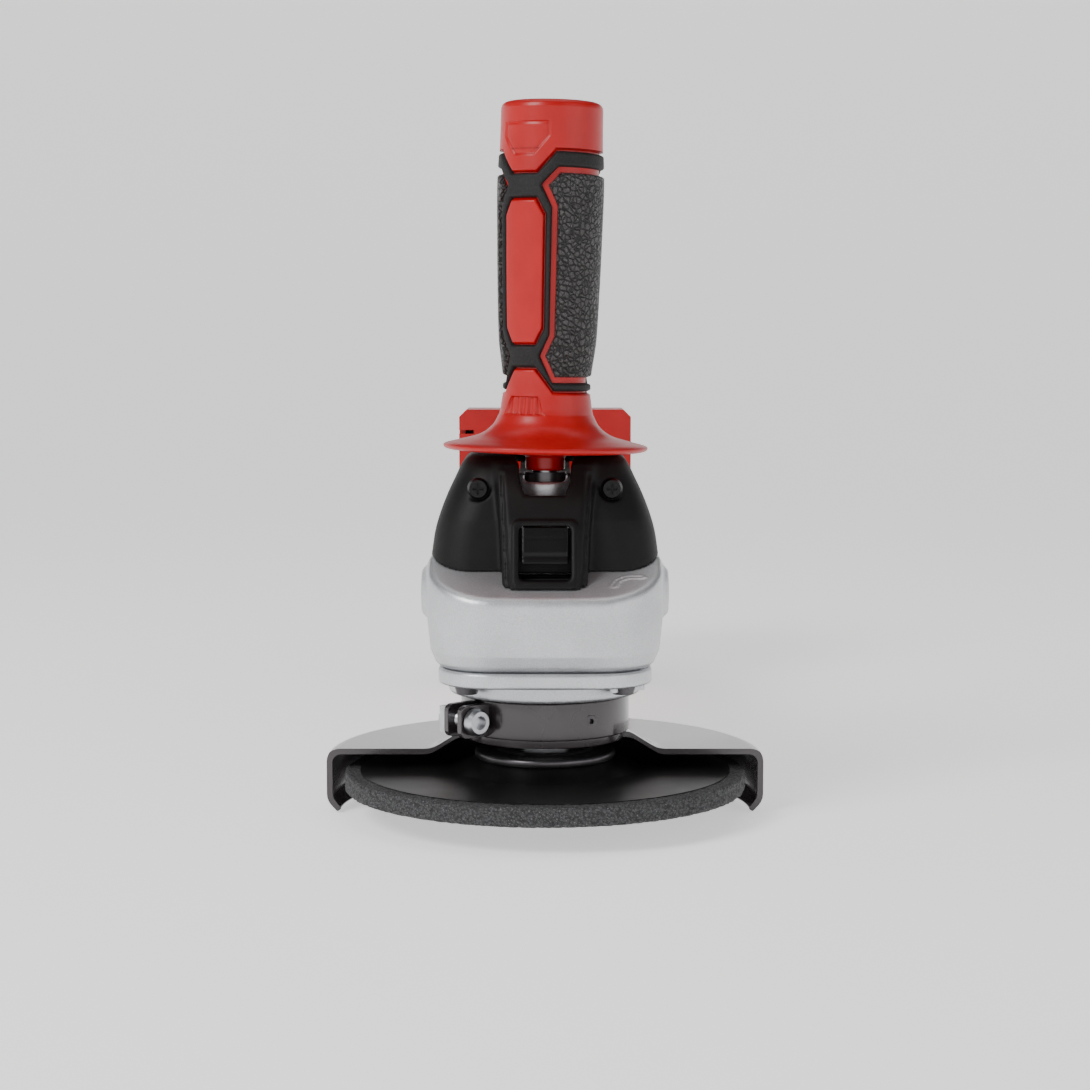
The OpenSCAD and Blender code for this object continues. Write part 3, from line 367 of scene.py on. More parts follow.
def finish_of(name):
    """The material of a finish, made the first time it is asked for."""
    material = bpy.data.materials.get(FINISH_PREFIX + name)
    return material or FINISHES[name](bpy.context.scene.grinder_colours)


# ---------------------------------------------------------------- mesh tools

SHARP_FROM = 35  # degrees between two faces from which an edge is rounded


def add_piece(name, points, faces, finish, body, replaced=(), angle=None):
    """Makes an object from points in millimetres, parents it to its body's empty and hides the nodes it
    replaces.
    """
    mesh = bpy.data.meshes.new(name)
    mesh.from_pydata([tuple(p) for p in np.asarray(points, float) * MM], [], faces)
    mesh.validate()
    piece = bpy.data.objects.new(name, mesh)
    bpy.context.collection.objects.link(piece)
    mesh.materials.append(finish_of(finish))
    mesh.shade_smooth()
    if angle is not None:
        mesh.set_sharp_from_angle(angle=math.radians(angle))
    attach(piece, body)
    if replaced:
        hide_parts(*replaced)
    return piece


def round_edges(piece, width, segments=3):
    """Rounds a piece's sharp edges by a width in millimetres."""
    bevel = piece.modifiers.new("round_edges", "BEVEL")
    bevel.width = width * MM
    bevel.segments = segments
    bevel.limit_method = "ANGLE"
    bevel.angle_limit = math.radians(SHARP_FROM)
    bevel.harden_normals = True
    return piece


def lathe(profile, turn=360.0, start=0.0, steps=128):
    """Points and faces of a closed outline of (radius, height) pairs swept round the z axis."""
    profile = np.asarray(profile, float)
    count = len(profile)
    whole = turn >= 360.0
    stations = steps if whole else steps + 1
    angles = np.radians(start + turn * np.arange(stations) / steps)
    radius, height = profile[:, 0], profile[:, 1]
    rings = np.stack([np.outer(np.cos(angles), radius), np.outer(np.sin(angles), radius),
                      np.tile(height, (stations, 1))], axis=-1).reshape(-1, 3)
    faces = []
    for i in range(steps):
        near, far = i * count, ((i + 1) % stations) * count
        for j in range(count):
            k = (j + 1) % count
            faces.append((near + j, far + j, far + k, near + k))
    if not whole:
        faces.append(tuple(range(count)))
        faces.append(tuple(reversed(range(steps * count, steps * count + count))))
    return rings, faces


def rounded(outline, radius, steps=4):
    """An outline with its corners rounded; radius is one number or one for each corner."""
    outline = np.asarray(outline, float)
    radii = np.broadcast_to(radius, len(outline))
    points = []
    for i, corner in enumerate(outline):
        before, after = outline[i - 1] - corner, outline[(i + 1) % len(outline)] - corner
        reach = min(radii[i], 0.45 * np.hypot(*before), 0.45 * np.hypot(*after))
        if reach <= 1e-6:
            points.append(corner)
            continue
        first = corner + before / np.hypot(*before) * reach
        last = corner + after / np.hypot(*after) * reach
        for t in np.linspace(0.0, 1.0, steps + 1):
            points.append((1 - t) ** 2 * first + 2 * t * (1 - t) * corner + t ** 2 * last)
    return np.array(points)


def prism(outline, low, high):
    """Points and faces of an (x, z) outline pushed out from low to high along y."""
    x, z = np.asarray(outline, float).T
    count = len(x)
    points = np.vstack([np.column_stack([x, np.full(count, y), z]) for y in (low, high)])
    faces = [tuple(reversed(range(count))), tuple(range(count, 2 * count))]
    faces += [(j, (j + 1) % count, count + (j + 1) % count, count + j) for j in range(count)]
    return points, faces


def joined(*parts):
    """One set of points and faces from several."""
    points, faces, base = [], [], 0
    for part_points, part_faces in parts:
        points.append(np.asarray(part_points, float))
        faces += [tuple(base + i for i in face) for face in part_faces]
        base += len(part_points)
    return np.vstack(points), faces


def outward(piece):
    """Turns a piece's faces to look outwards."""
    shape = bmesh.new()
    shape.from_mesh(piece.data)
    bmesh.ops.recalc_face_normals(shape, faces=shape.faces)
    shape.to_mesh(piece.data)
    shape.free()
    return piece


# ---------------------------------------------------------------- distance shapes

def smin(a, b, k=1.0):
    """Union of two shapes with a fillet of about k millimetres."""
    h = np.clip(0.5 + 0.5 * (b - a) / k, 0.0, 1.0)
    return b + (a - b) * h - k * h * (1.0 - h)


def smax(a, b, k=1.0):
    """Common part of two shapes with a rounded edge of about k millimetres."""
    return -smin(-a, -b, k)


def carve(a, b, k=0.5):
    """The first shape with the second taken away."""
    return smax(a, -b, k)


def rect(u, v, low, high, radius=0.0):
    """Distance to a rectangle with rounded corners."""
    qu = np.abs(u - (low[0] + high[0]) / 2) - (high[0] - low[0]) / 2 + radius
    qv = np.abs(v - (low[1] + high[1]) / 2) - (high[1] - low[1]) / 2 + radius
    return np.hypot(np.maximum(qu, 0), np.maximum(qv, 0)) + np.minimum(np.maximum(qu, qv), 0) - radius


def box(p, low, high, radius=0.0):
    """Distance to a box with rounded edges."""
    q = [np.abs(p[i] - (low[i] + high[i]) / 2) - (high[i] - low[i]) / 2 + radius for i in range(3)]
    out = np.sqrt(sum(np.maximum(c, 0) ** 2 for c in q))
    return out + np.minimum(np.maximum(np.maximum(q[0], q[1]), q[2]), 0) - radius


def rod(p, axis, centre, radius, low, high, k=0.3):
    """Distance to a cylinder along an axis, from low to high, with rounded ends."""
    across = [i for i in range(3) if i != axis]
    d = np.hypot(p[across[0]] - centre[0], p[across[1]] - centre[1]) - radius
    return smax(d, np.maximum(low - p[axis], p[axis] - high), k)


def polygon_distance(u, v, points):
    """Signed distance to a closed outline, negative inside."""
    points = np.asarray(points, float)
    nearest = np.full(u.shape, 1e9)
    inside = np.zeros(u.shape, bool)
    for (x0, y0), (x1, y1) in zip(points, np.roll(points, -1, axis=0)):
        ex, ey = x1 - x0, y1 - y0
        t = np.clip(((u - x0) * ex + (v - y0) * ey) / (ex * ex + ey * ey), 0, 1)
        nearest = np.minimum(nearest, np.hypot(u - x0 - t * ex, v - y0 - t * ey))
        crosses = (y0 > v) != (y1 > v)
        with np.errstate(divide="ignore", invalid="ignore"):
            inside ^= crosses & (u < x0 + ex * (v - y0) / (ey if ey else 1e-9))
    return np.where(inside, -nearest, nearest)


def path_distance(u, v, points):
    """Distance to an open path."""
    nearest = np.full(u.shape, 1e9)
    for (x0, y0), (x1, y1) in zip(points[:-1], points[1:]):
        ex, ey = x1 - x0, y1 - y0
        t = np.clip(((u - x0) * ex + (v - y0) * ey) / (ex * ex + ey * ey), 0, 1)
        nearest = np.minimum(nearest, np.hypot(u - x0 - t * ex, v - y0 - t * ey))
    return nearest


def skin(field, low, high, step):
    """Points and quads of the surface where field(p) is zero, one point for each cell it crosses."""
    low, high = np.asarray(low, float) - 2 * step, np.asarray(high, float) + 2 * step
    sizes = np.ceil((high - low) / step).astype(int) + 1
    axes = [low[i] + step * np.arange(sizes[i]) for i in range(3)]
    values = field(np.meshgrid(*axes, indexing="ij")).astype(np.float32)
    cells = tuple(sizes - 1)
    total = np.zeros(cells + (3,), np.float32)
    hits = np.zeros(cells, np.float32)
    corner = {c: values[c[0]:c[0] + cells[0], c[1]:c[1] + cells[1], c[2]:c[2] + cells[2]]
              for c in np.ndindex(2, 2, 2)}
    for start in np.ndindex(2, 2, 2):
        for axis in range(3):
            if start[axis]:
                continue
            end = tuple(1 if i == axis else c for i, c in enumerate(start))
            a, b = corner[start], corner[end]
            cut = (a < 0) != (b < 0)
            t = np.where(cut, a / np.where(a == b, 1, a - b), 0)
            for i in range(3):
                total[..., i] += np.where(cut, start[i] + (t if i == axis else 0), 0)
            hits += cut
    active = hits > 0
    index = np.full(cells, -1, int)
    index[active] = np.arange(active.sum())
    points = low + step * (np.argwhere(active) + total[active] / hits[active][:, None])
    quads = []
    for axis in range(3):
        u, v = [i for i in range(3) if i != axis]
        inner = [slice(1, -1)] * 3
        inner[axis] = slice(0, sizes[axis] - 1)
        beyond = list(inner)
        beyond[axis] = slice(1, sizes[axis])
        a, b = values[tuple(inner)], values[tuple(beyond)]
        where = np.argwhere((a < 0) != (b < 0))
        where[:, u] += 1
        where[:, v] += 1
        ring = []
        for du, dv in ((1, 1), (0, 1), (0, 0), (1, 0)):
            spot = where.copy()
            spot[:, u] -= du
            spot[:, v] -= dv
            ring.append(index[tuple(spot.T)])
        ring = np.stack(ring, axis=1)
        solid_first = values[tuple(where.T)] < 0
        flip = solid_first if axis == 1 else ~solid_first
        ring[flip] = ring[flip][:, ::-1]
        quads.append(ring)
    return points, np.vstack(quads).tolist()


def curve(at, knots):
    """Smooth curve through (position, value) knots, read at any positions."""
    x, y = np.asarray(knots, float).T
    slope = np.gradient(y, x)
    at = np.clip(np.asarray(at, float), x[0], x[-1])
    i = np.clip(np.searchsorted(x, at) - 1, 0, len(x) - 2)
    width = x[i + 1] - x[i]
    t = (at - x[i]) / width
    return ((1 + 2 * t) * (1 - t) ** 2 * y[i] + t * (1 - t) ** 2 * width * slope[i]
            + t ** 2 * (3 - 2 * t) * y[i + 1] + t ** 2 * (t - 1) * width * slope[i + 1])


def arch(distance, reach):
    """0 outside an outline, rising in a quarter round to 1 at reach millimetres inside it."""
    t = np.clip(-distance / reach, 0.0, 1.0)
    return np.sqrt(1.0 - (1.0 - t) ** 2)


# ---------------------------------------------------------------- side handle

HANDLE_LOW = span("handle_core")[0][2] + 0.12
HANDLE_TOP = span("handle_core")[1][2] + 0.25
STOP_RADIUS = (span("handle_core")[1][0] - span("handle_core")[0][0]) / 2 - 0.05
GRIP_LOW, GRIP_HIGH = HANDLE_LOW + 24.2, HANDLE_LOW + 97.1
GRIP_RADII = [(GRIP_LOW - 4, 14.0), (GRIP_LOW, 13.45), (GRIP_LOW + 16.3, 14.9),
              (GRIP_LOW + 31.8, 15.55), (GRIP_LOW + 47.2, 15.95), (GRIP_LOW + 66.4, 16.15),
              (GRIP_HIGH, 15.85), (HANDLE_TOP, 15.6)]
WRAP_RADIUS = 15.5
WINDOW = (6.9, 4.3, GRIP_LOW + 14.8, GRIP_LOW + 58.1)
PALM_EDGE = [(26, GRIP_HIGH - 6.0), (11.4, GRIP_HIGH - 6.0), (6.9, GRIP_HIGH - 10.6),
             (10.1, GRIP_HIGH - 16.9), (10.1, GRIP_LOW + 17.2), (6.9, GRIP_LOW + 11.0),
             (11.2, GRIP_LOW + 3.9), (26, GRIP_LOW + 3.9)]


def across_wrap(turn, window_turn):
    """Distance round the wrap from the middle of the nearest red window."""
    return np.radians((np.degrees(turn) - window_turn + 90.0) % 180.0 - 90.0) * WRAP_RADIUS


def handle_pattern(turn, height, window_turn):
    """Distances on the grip's skin to its black wrap and to its red fields."""
    s = np.abs(across_wrap(turn, window_turn))
    wide, narrow, low, high = WINDOW
    chamfer = 4.7
    window = polygon_distance(s, height, [
        (-wide, low + chamfer), (-narrow, low), (narrow, low), (wide, low + chamfer),
        (wide, high - chamfer), (narrow, high), (-narrow, high), (-wide, high - chamfer)])
    top_field = polygon_distance(s, height, [
        (-30, GRIP_HIGH + 9), (-30, GRIP_HIGH), (-10.2, GRIP_HIGH), (-narrow, GRIP_HIGH - 6.6),
        (narrow, GRIP_HIGH - 6.6), (10.2, GRIP_HIGH), (30, GRIP_HIGH), (30, GRIP_HIGH + 9)])
    low_field = polygon_distance(s, height, [
        (-30, GRIP_LOW - 9), (-30, GRIP_LOW), (-11, GRIP_LOW), (-narrow, GRIP_LOW + 7.1),
        (narrow, GRIP_LOW + 7.1), (11, GRIP_LOW), (30, GRIP_LOW), (30, GRIP_LOW - 9)])
    groove = path_distance(s, height, PALM_EDGE)
    red = np.minimum(np.minimum(window, top_field), low_field)
    return np.maximum(-red + 0.3, 0.7 - groove), red, groove


def lean_over(points, lean):
    """Leans points about the foot of the handle."""
    a = math.radians(lean)
    x, y, z = points.T
    up = z - HANDLE_LOW
    return np.column_stack([x * math.cos(a) + up * math.sin(a), y,
                            HANDLE_LOW + up * math.cos(a) - x * math.sin(a)])


def wrapped_lathe(path, shift, columns):
    """Points and faces of a closed surface of revolution whose radius is shifted at each point."""
    path = np.asarray(path, float)
    turns = 2 * math.pi * np.arange(columns) / columns
    turn, height = np.meshgrid(turns, path[:, 1], indexing="ij")
    radius = np.maximum(path[:, 0][None, :] + shift(turn, height), 0.0)
    points = np.stack([radius * np.cos(turn), radius * np.sin(turn), height], axis=-1)
    rows = len(path)
    faces = []
    for i in range(columns):
        near, far = i * rows, ((i + 1) % columns) * rows
        faces += [(near + j, far + j, far + j + 1, near + j + 1) for j in range(rows - 1)]
    faces.append(tuple(i * rows for i in reversed(range(columns))))
    faces.append(tuple(i * rows + rows - 1 for i in range(columns)))
    return points.reshape(-1, 3), faces


def core_path():
    """Profile of the hard core from its neck, round the hand stop and up to the cap."""
    z = HANDLE_LOW
    neck = rounded([(5.4, z), (6.15, z + 0.6), (6.15, z + 4.6), (12, z + 5.4)], 0.9, 3)
    stop = curve(np.linspace(0, 9, 90), list(zip(range(10), [
        12, 20, 26, STOP_RADIUS - 1.1, STOP_RADIUS, STOP_RADIUS - 1.2, 26, 20.4, 16.6, 14.5])))
    stop_z = curve(np.linspace(0, 9, 90), list(zip(range(10), [
        z + 5.5, z + 5.7, z + 5.95, z + 6.4, z + 7.5, z + 8.3, z + 9.35, z + 10.95, z + 13.7, z + 17.3])))
    flare_z = np.arange(z + 17.7, GRIP_LOW - 4.2, 0.4)
    flare = curve(flare_z, [(z + 17.3, 14.5), (z + 19.0, 14.15), (GRIP_LOW - 4, 14.0)])
    body_z = np.arange(GRIP_LOW - 4, HANDLE_TOP - 2.4, 0.32)
    body = curve(body_z, GRIP_RADII)
    top_r = float(curve(HANDLE_TOP, GRIP_RADII))
    cap_turn = np.radians(np.linspace(0, 90, 9))
    cap_r = top_r - 2.4 + 2.4 * np.cos(cap_turn)
    cap_z = HANDLE_TOP - 2.4 + 2.0 * np.sin(cap_turn)
    crown = [(10.0, HANDLE_TOP - 0.15), (5.0, HANDLE_TOP - 0.02), (0.5, HANDLE_TOP)]
    return np.vstack([neck[:-1], np.column_stack([stop, stop_z]), np.column_stack([flare, flare_z]),
                      np.column_stack([body, body_z]), np.column_stack([cap_r, cap_z]), crown])


def make_side_handle(sizes):
    """Red core and black wrap."""
    turn = math.degrees(sizes.window_turn) - 90.0
    lean = math.degrees(sizes.handle_lean)
    emblem_low = GRIP_HIGH - 1.5

    def core_shift(angle, height):
        _wrap, red, _groove = handle_pattern(angle, height, turn)
        in_band = (height > GRIP_LOW - 5) & (height < GRIP_HIGH + 5)
        sunk = np.where(in_band, 1.45 * (arch(red, 0.7) - 1.0), 0.0)
        s = across_wrap(angle, turn)
        emblem = polygon_distance(s, height, [
            (-8.2, emblem_low + 10), (8.2, emblem_low + 10), (8.2, emblem_low + 5.5),
            (3.4, emblem_low), (-3.4, emblem_low), (-8.2, emblem_low + 5.5)])
        pocket = polygon_distance(s, height, [
            (-5.6, GRIP_LOW - 1.2), (5.6, GRIP_LOW - 1.2), (8.2, GRIP_LOW - 6.9),
            (-8.2, GRIP_LOW - 6.9)])
        ribs = 0.5 + 0.5 * np.cos(s * 2 * math.pi / 3.0)
        return (sunk - 0.42 * arch(emblem, 0.3) + 0.2 * arch(emblem + 0.7, 0.4)
                - arch(pocket, 0.4) * (0.55 + 0.6 * ribs))

    points, faces = wrapped_lathe(core_path(), core_shift, 360)
    core = add_piece("handle_body", lean_over(points, lean), faces, "red_plastic",
                     "handle", ["handle_core"])
    core.data.set_sharp_from_angle(angle=math.radians(50))

    heights = np.arange(GRIP_LOW - 0.6, GRIP_HIGH + 0.6, 0.3)
    radii = curve(heights, GRIP_RADII)
    path = np.vstack([[(4.0, heights[0])], np.column_stack([radii, heights]), [(4.0, heights[-1])]])

    def wrap_shift(angle, height):
        wrap, _red, groove = handle_pattern(angle, height, turn)
        sunk = 2.7 * (arch(wrap, 1.0) - 1.0)
        panel = arch(0.9 - groove, 0.8)
        ends = (height <= heights[0]) | (height >= heights[-1])
        return np.where(ends, 0.0, sunk + 0.18 * panel)

    points, faces = wrapped_lathe(path, wrap_shift, 360)
    wrap = add_piece("handle_wrap", lean_over(points, lean), faces, "soft_black",
                     "handle", ["handle_grip"])
    wrap.data.materials.append(finish_of("fine_soft_black"))
    paint_frame(wrap, turn, lean)


def paint_frame(wrap, turn, lean):
    """Gives the wrap's frame and bands the finer texture, and leaves the palm panels coarse."""
    mesh = wrap.data
    centres = np.empty(len(mesh.polygons) * 3)
    mesh.polygons.foreach_get("center", centres)
    centres = lean_over(centres.reshape(-1, 3) / MM, -lean)
    x, y, z = centres.T
    panel = polygon_distance(np.abs(across_wrap(np.arctan2(y, x), turn)), z, PALM_EDGE)
    mesh.polygons.foreach_set("material_index", (panel > 0).astype(np.int32))


# ---------------------------------------------------------------- disc, flanges and spindle end

DISC_LOW, DISC_HIGH = span("grinding_disc")
DISC_RADIUS = DISC_HIGH[0]
DISC_TOP = span("disc_label")[0][2]
HUB_TOP = DISC_HIGH[2]
HUB_LOW = HUB_TOP - (DISC_TOP - DISC_LOW[2])


def make_disc(sizes):
    """Abrasive disc with a ragged rim, its label and its steel bush."""
    low, top, hub_top, hub_low = DISC_LOW[2], DISC_TOP, HUB_TOP, HUB_LOW
    rim = [(DISC_RADIUS - 0.9, top), (DISC_RADIUS - 0.25, top - 0.3)]
    rim += [(DISC_RADIUS - 0.1, z) for z in np.linspace(top - 0.8, low + 0.8, 9)]
    rim += [(DISC_RADIUS - 0.3, low + 0.3), (DISC_RADIUS - 1.0, low)]
    flat = [(r, top) for r in np.linspace(30.5, DISC_RADIUS - 2.0, 26)]
    under = [(r, low) for r in np.linspace(DISC_RADIUS - 2.0, 33.0, 20)]
    outline = ([(11.6, hub_top), (20.0, hub_top), (21.4, hub_top - 0.3), (27.8, top + 0.35)] + flat
               + rim + under + [(30.4, low + 0.3), (23.2, hub_low - 0.3), (21.6, hub_low),
                                (11.6, hub_low)])
    points, faces = lathe(outline, steps=360)
    disc = add_piece("disc_body", points, faces, "abrasive", "spindle_group", ["grinding_disc"],
                     angle=50)
    roughen(disc, 31.0, sizes.grain_depth)
    label_r = 57.6
    label = [(21.2, hub_top + 0.12), (22.2, hub_top - 0.2), (28.4, top + 0.45), (30.5, top + 0.22)]
    label += [(r, top + 0.2) for r in (label_r - 0.4, label_r)]
    label += [(label_r, top - 0.1), (30.4, top - 0.1), (28.2, top + 0.1), (21.2, hub_top - 0.3)]
    points, faces = lathe(label, steps=160)
    add_piece("disc_print", points, faces, "label_black", "spindle_group", ["disc_label"], angle=60)
    bush = [(11.1, hub_low - 0.1), (11.1, hub_top), (11.7, hub_top), (11.7, hub_low + 0.1),
            (15.0, hub_low + 0.05), (15.0, hub_low - 0.15)]
    points, faces = lathe(bush, steps=96)
    add_piece("disc_bush", points, faces, "bright_steel", "spindle_group",
              angle=40)


def roughen(piece, from_radius, depth):
    """Moves points in and out by seeded noise beyond a radius, like bonded grains."""
    mesh = piece.data
    co = np.empty(len(mesh.vertices) * 3)
    mesh.vertices.foreach_get("co", co)
    co = co.reshape(-1, 3)
    radius = np.hypot(co[:, 0], co[:, 1]) / MM
    rng = np.random.default_rng(7)
    amount = rng.uniform(-1.0, 0.2, len(co)) * depth * MM
    amount = np.where(radius > from_radius, amount, 0.0)
    edge = radius > DISC_RADIUS - 1.5
    direction = np.where(edge[:, None], co * np.array([1.0, 1.0, 0.0]), 0.0)
    length = np.maximum(np.hypot(direction[:, 0], direction[:, 1]), 1e-9)
    co += direction / length[:, None] * amount[:, None]
    side = np.where(co[:, 2] > (DISC_LOW[2] + DISC_TOP) / 2 * MM, 1.0, -1.0)
    co[:, 2] += np.where(edge, 0.0, side * amount * 0.5)
    mesh.vertices.foreach_set("co", co.ravel())


def make_flanges():
    """Inner flange, outer nut and the spindle's threaded end."""
    thread_radius, nut_bore = 7.0, 7.05
    high = span("inner_flange")[1]
    r, base, top = high[0], HUB_TOP, high[2]
    outline = rounded([(7.2, top), (14.5, top), (15.2, top - 0.8), (r - 0.6, top - 0.9), (r, top - 1.5),
                       (r, base + 0.9), (r - 0.7, base + 0.15), (11.1, base + 0.05),
                       (11.0, base - 2.9), (7.2, base - 2.9)], 0.45, 3)
    points, faces = lathe(outline, steps=144)
    add_piece("flange_body", points, faces, "dark_steel", "spindle_group", ["inner_flange"], angle=40)
    low, high = span("outer_nut")
    r = high[0]
    holes = [(math.cos(math.radians(a)) * (r - 6), math.sin(math.radians(a)) * (r - 6))
             for a in (45, 135, 225, 315)]

    def nut(p):
        radius = np.hypot(p[0], p[1])
        wall = r - 0.22 * np.clip(high[2] - 2.4 - p[2], 0, 9)
        d = smax(radius - wall, np.maximum(low[2] - p[2], p[2] - high[2]), 0.7)
        d = carve(d, radius - nut_bore, 0.4)
        for x, y in holes:
            d = carve(d, rod(p, 2, (x, y), 2.5, low[2] - 2, low[2] + 3.8), 0.4)
        return d

    points, faces = skin(nut, low, high, 0.4)
    add_piece("nut_body", points, faces, "bright_steel", "spindle_group", ["outer_nut"])
    pitch = 2.0
    thread = [(thread_radius - 1.1 * abs(2 * ((z / pitch) % 1.0) - 1.0), z)
              for z in np.arange(0.9, HUB_LOW + 2.5, pitch / 12)]
    outline = [(0.4, 0.0), (5.6, 0.0)] + thread + [(0.4, HUB_LOW + 2.5)]
    points, faces = lathe(outline, steps=96)
    add_piece("spindle_thread", points, faces, "bright_steel", "spindle_group",
              angle=30)


# ---------------------------------------------------------------- head

AXIS_Z = (span("pinion_gear")[0][2] + span("pinion_gear")[1][2]) / 2
HOUSING_LOW, HOUSING_HIGH = span("gear_housing")
COVER_LOW, COVER_HIGH = span("head_cover")
SIDE_SOCKET = 4.0
SLOPE, LEVEL_Y = 0.38, -10.0
EDGE_Z = 67.8
FLANGE_FRONT = HOUSING_HIGH[1] - 4.0
FLANGE_SCREW_X, FLANGE_SCREW_Z = 22.0, (50.0, 88.0)
COVER_SCREW_X, COVER_SCREW_Z = 20.3, 99.5
LOCK_PIN = (0, -14.2)


def under_top(y, z):
    """Distance to the space under the housing's top, which slopes up and then runs level."""
    slope = (z - EDGE_Z - SLOPE * (y - HOUSING_LOW[1])) / math.hypot(1.0, SLOPE)
    return np.maximum(slope, z - EDGE_Z - SLOPE * (LEVEL_Y - HOUSING_LOW[1]))


def front_corner(x, y, half_width, front, radius):
    """Distance in plan to a shape with two rounded corners in front and no rear."""
    u = np.abs(x) - half_width + radius
    v = front + radius - y
    return np.hypot(np.maximum(u, 0), np.maximum(v, 0)) + np.minimum(np.maximum(u, v), 0) - radius


def flange_lugs(p, radius, low, high):
    """Distance to the four lugs of the motor flange."""
    lugs = [rod(p, 1, (x, z), radius, low, high)
            for x in (-FLANGE_SCREW_X, FLANGE_SCREW_X) for z in FLANGE_SCREW_Z]
    return np.minimum.reduce(lugs)


def make_housing():
    """Silver gear housing with its handle bosses."""
    half_width, front, rear = 35.75, HOUSING_LOW[1], HOUSING_HIGH[1]
    low = 45.6
    boss_x, boss_z = HOUSING_HIGH[0], 66.6

    def field(p):
        x, y, z = p
        bowed = y - 1.4 * (x / half_width) ** 2
        drawn_in = np.interp(z, [low, 47.2, 51.0, 60.0], [4.3, 2.5, 0.9, 0.0])
        d = front_corner(x, bowed, half_width, front, 20.0) + drawn_in
        d = smax(d, under_top(y, z), 2.4)
        d = smax(d, low - z, 1.6)
        d = smax(d, y - rear, 0.6)
        across = np.abs(x)
        boss = np.hypot(y, z - boss_z) - np.interp(across, [30.0, 34.6, boss_x], [10.4, 9.7, 6.75])
        d = smin(d, smax(boss, across - boss_x, 0.7), 2.4)
        d = smin(d, rod(p, 2, (0, 0), 9.5, 60, 100, 0.8), 1.5)
        cup = carve(rod(p, 2, (0, 0), 9.4, 98, 107.4, 0.5), rod(p, 2, (0, 0), 7.1, 90, 120), 0.3)
        front_gap = smax(across - 6.3, 101.0 - z, 1.2)
        d = np.minimum(d, carve(cup, np.maximum(front_gap, y), 0.5))
        d = np.minimum(d, rod(p, 1, (0, AXIS_Z), 29.0, FLANGE_FRONT, rear, 0.8))
        d = np.minimum(d, flange_lugs(p, 5.0, FLANGE_FRONT, rear))
        d = np.minimum(d, box([across, y, z], (17.1, -9.5, 72), (22.1, -3, 102.1), 0.5))
        arrow = path_distance(x, y * 1.07, [(20.5, -31), (21.5, -27.5), (24.5, -25.2), (29, -25.0)])
        d = np.where(arrow < 1.4, np.minimum(d, np.maximum(np.abs(arrow - 0.85) - 0.3,
                                                             under_top(y, z) - 0.35)), d)
        d = carve(d, smax(np.hypot(y, z - boss_z) - SIDE_SOCKET, boss_x - 14 - across, 0.3), 0.7)
        d = carve(d, rod(p, 2, (0, 0), 22.5, low - 5, 66.0), 0.3)
        d = carve(d, rod(p, 1, (0, AXIS_Z), 7.5, 10, 30), 0.3)
        d = carve(d, rod(p, 1, (0, AXIS_Z), 11.0, 25, 60), 0.3)
        d = carve(d, rod(p, 2, (0, 0), 6.0, 60, 82), 0.2)
        d = carve(d, rod(p, 2, (0, 0), 4.05, 86, 110), 0.6)
        d = carve(d, rod(p, 2, LOCK_PIN, 2.4, 60, 100), 0.2)
        d = carve(d, rod(p, 2, LOCK_PIN, 4.4, 74, 100), 0.2)
        for z0 in (50.5, 54.0):
            d = carve(d, box([across, y, z], (33.7, -10, z0), (45, 12, z0 + 1.6), 0.3), 0.3)
        return d

    points, faces = skin(field, HOUSING_LOW, HOUSING_HIGH, 0.55)
    add_piece("housing_casting", points, faces, "silver_paint", "root", ["gear_housing"])


def make_bearing_cover():
    """Silver bearing cover with the guard's neck."""
    low, high = span("bearing_cover")

    def field(p):
        x, y, z = p
        radius = np.hypot(x, y)
        d = smax(radius - 23.0, np.maximum(low[2] - z, z - 37), 0.8)
        d = smin(d, smax(radius - 30.0, np.maximum(35.8 - z, z - 42), 1.2), 0.6)
        plate = front_corner(x, y - 1.2 * (x / 33) ** 2, 32.4, -35.8, 17.0)
        plate = smax(plate, radius - 42.0 - (z - 40.9) * 1.5, 1.5)
        plate = smax(plate, np.maximum(40.9 - z, z - 45.6), 0.9)
        d = smin(d, smax(plate, y - high[1], 0.5), 0.8)
        d = np.minimum(d, smax(radius - 22.4, np.maximum(44 - z, z - high[2]), 0.4))
        d = carve(d, np.maximum(radius - 9.0, z - 30), 0.6)
        d = carve(d, np.maximum(radius - 17.5, 27 - z), 0.3)
        for sx in (-23.5, 23.5):
            for sy in (-24.5, 22.5):
                d = carve(d, rod(p, 2, (sx, sy), 4.2, 30, 40.8), 0.5)
                d = carve(d, rod(p, 2, (sx, sy), 2.0, 30, 60), 0.3)
        return d

    points, faces = skin(field, low, high, 0.55)
    add_piece("bearing_casting", points, faces, "silver_paint", "root", ["bearing_cover"])


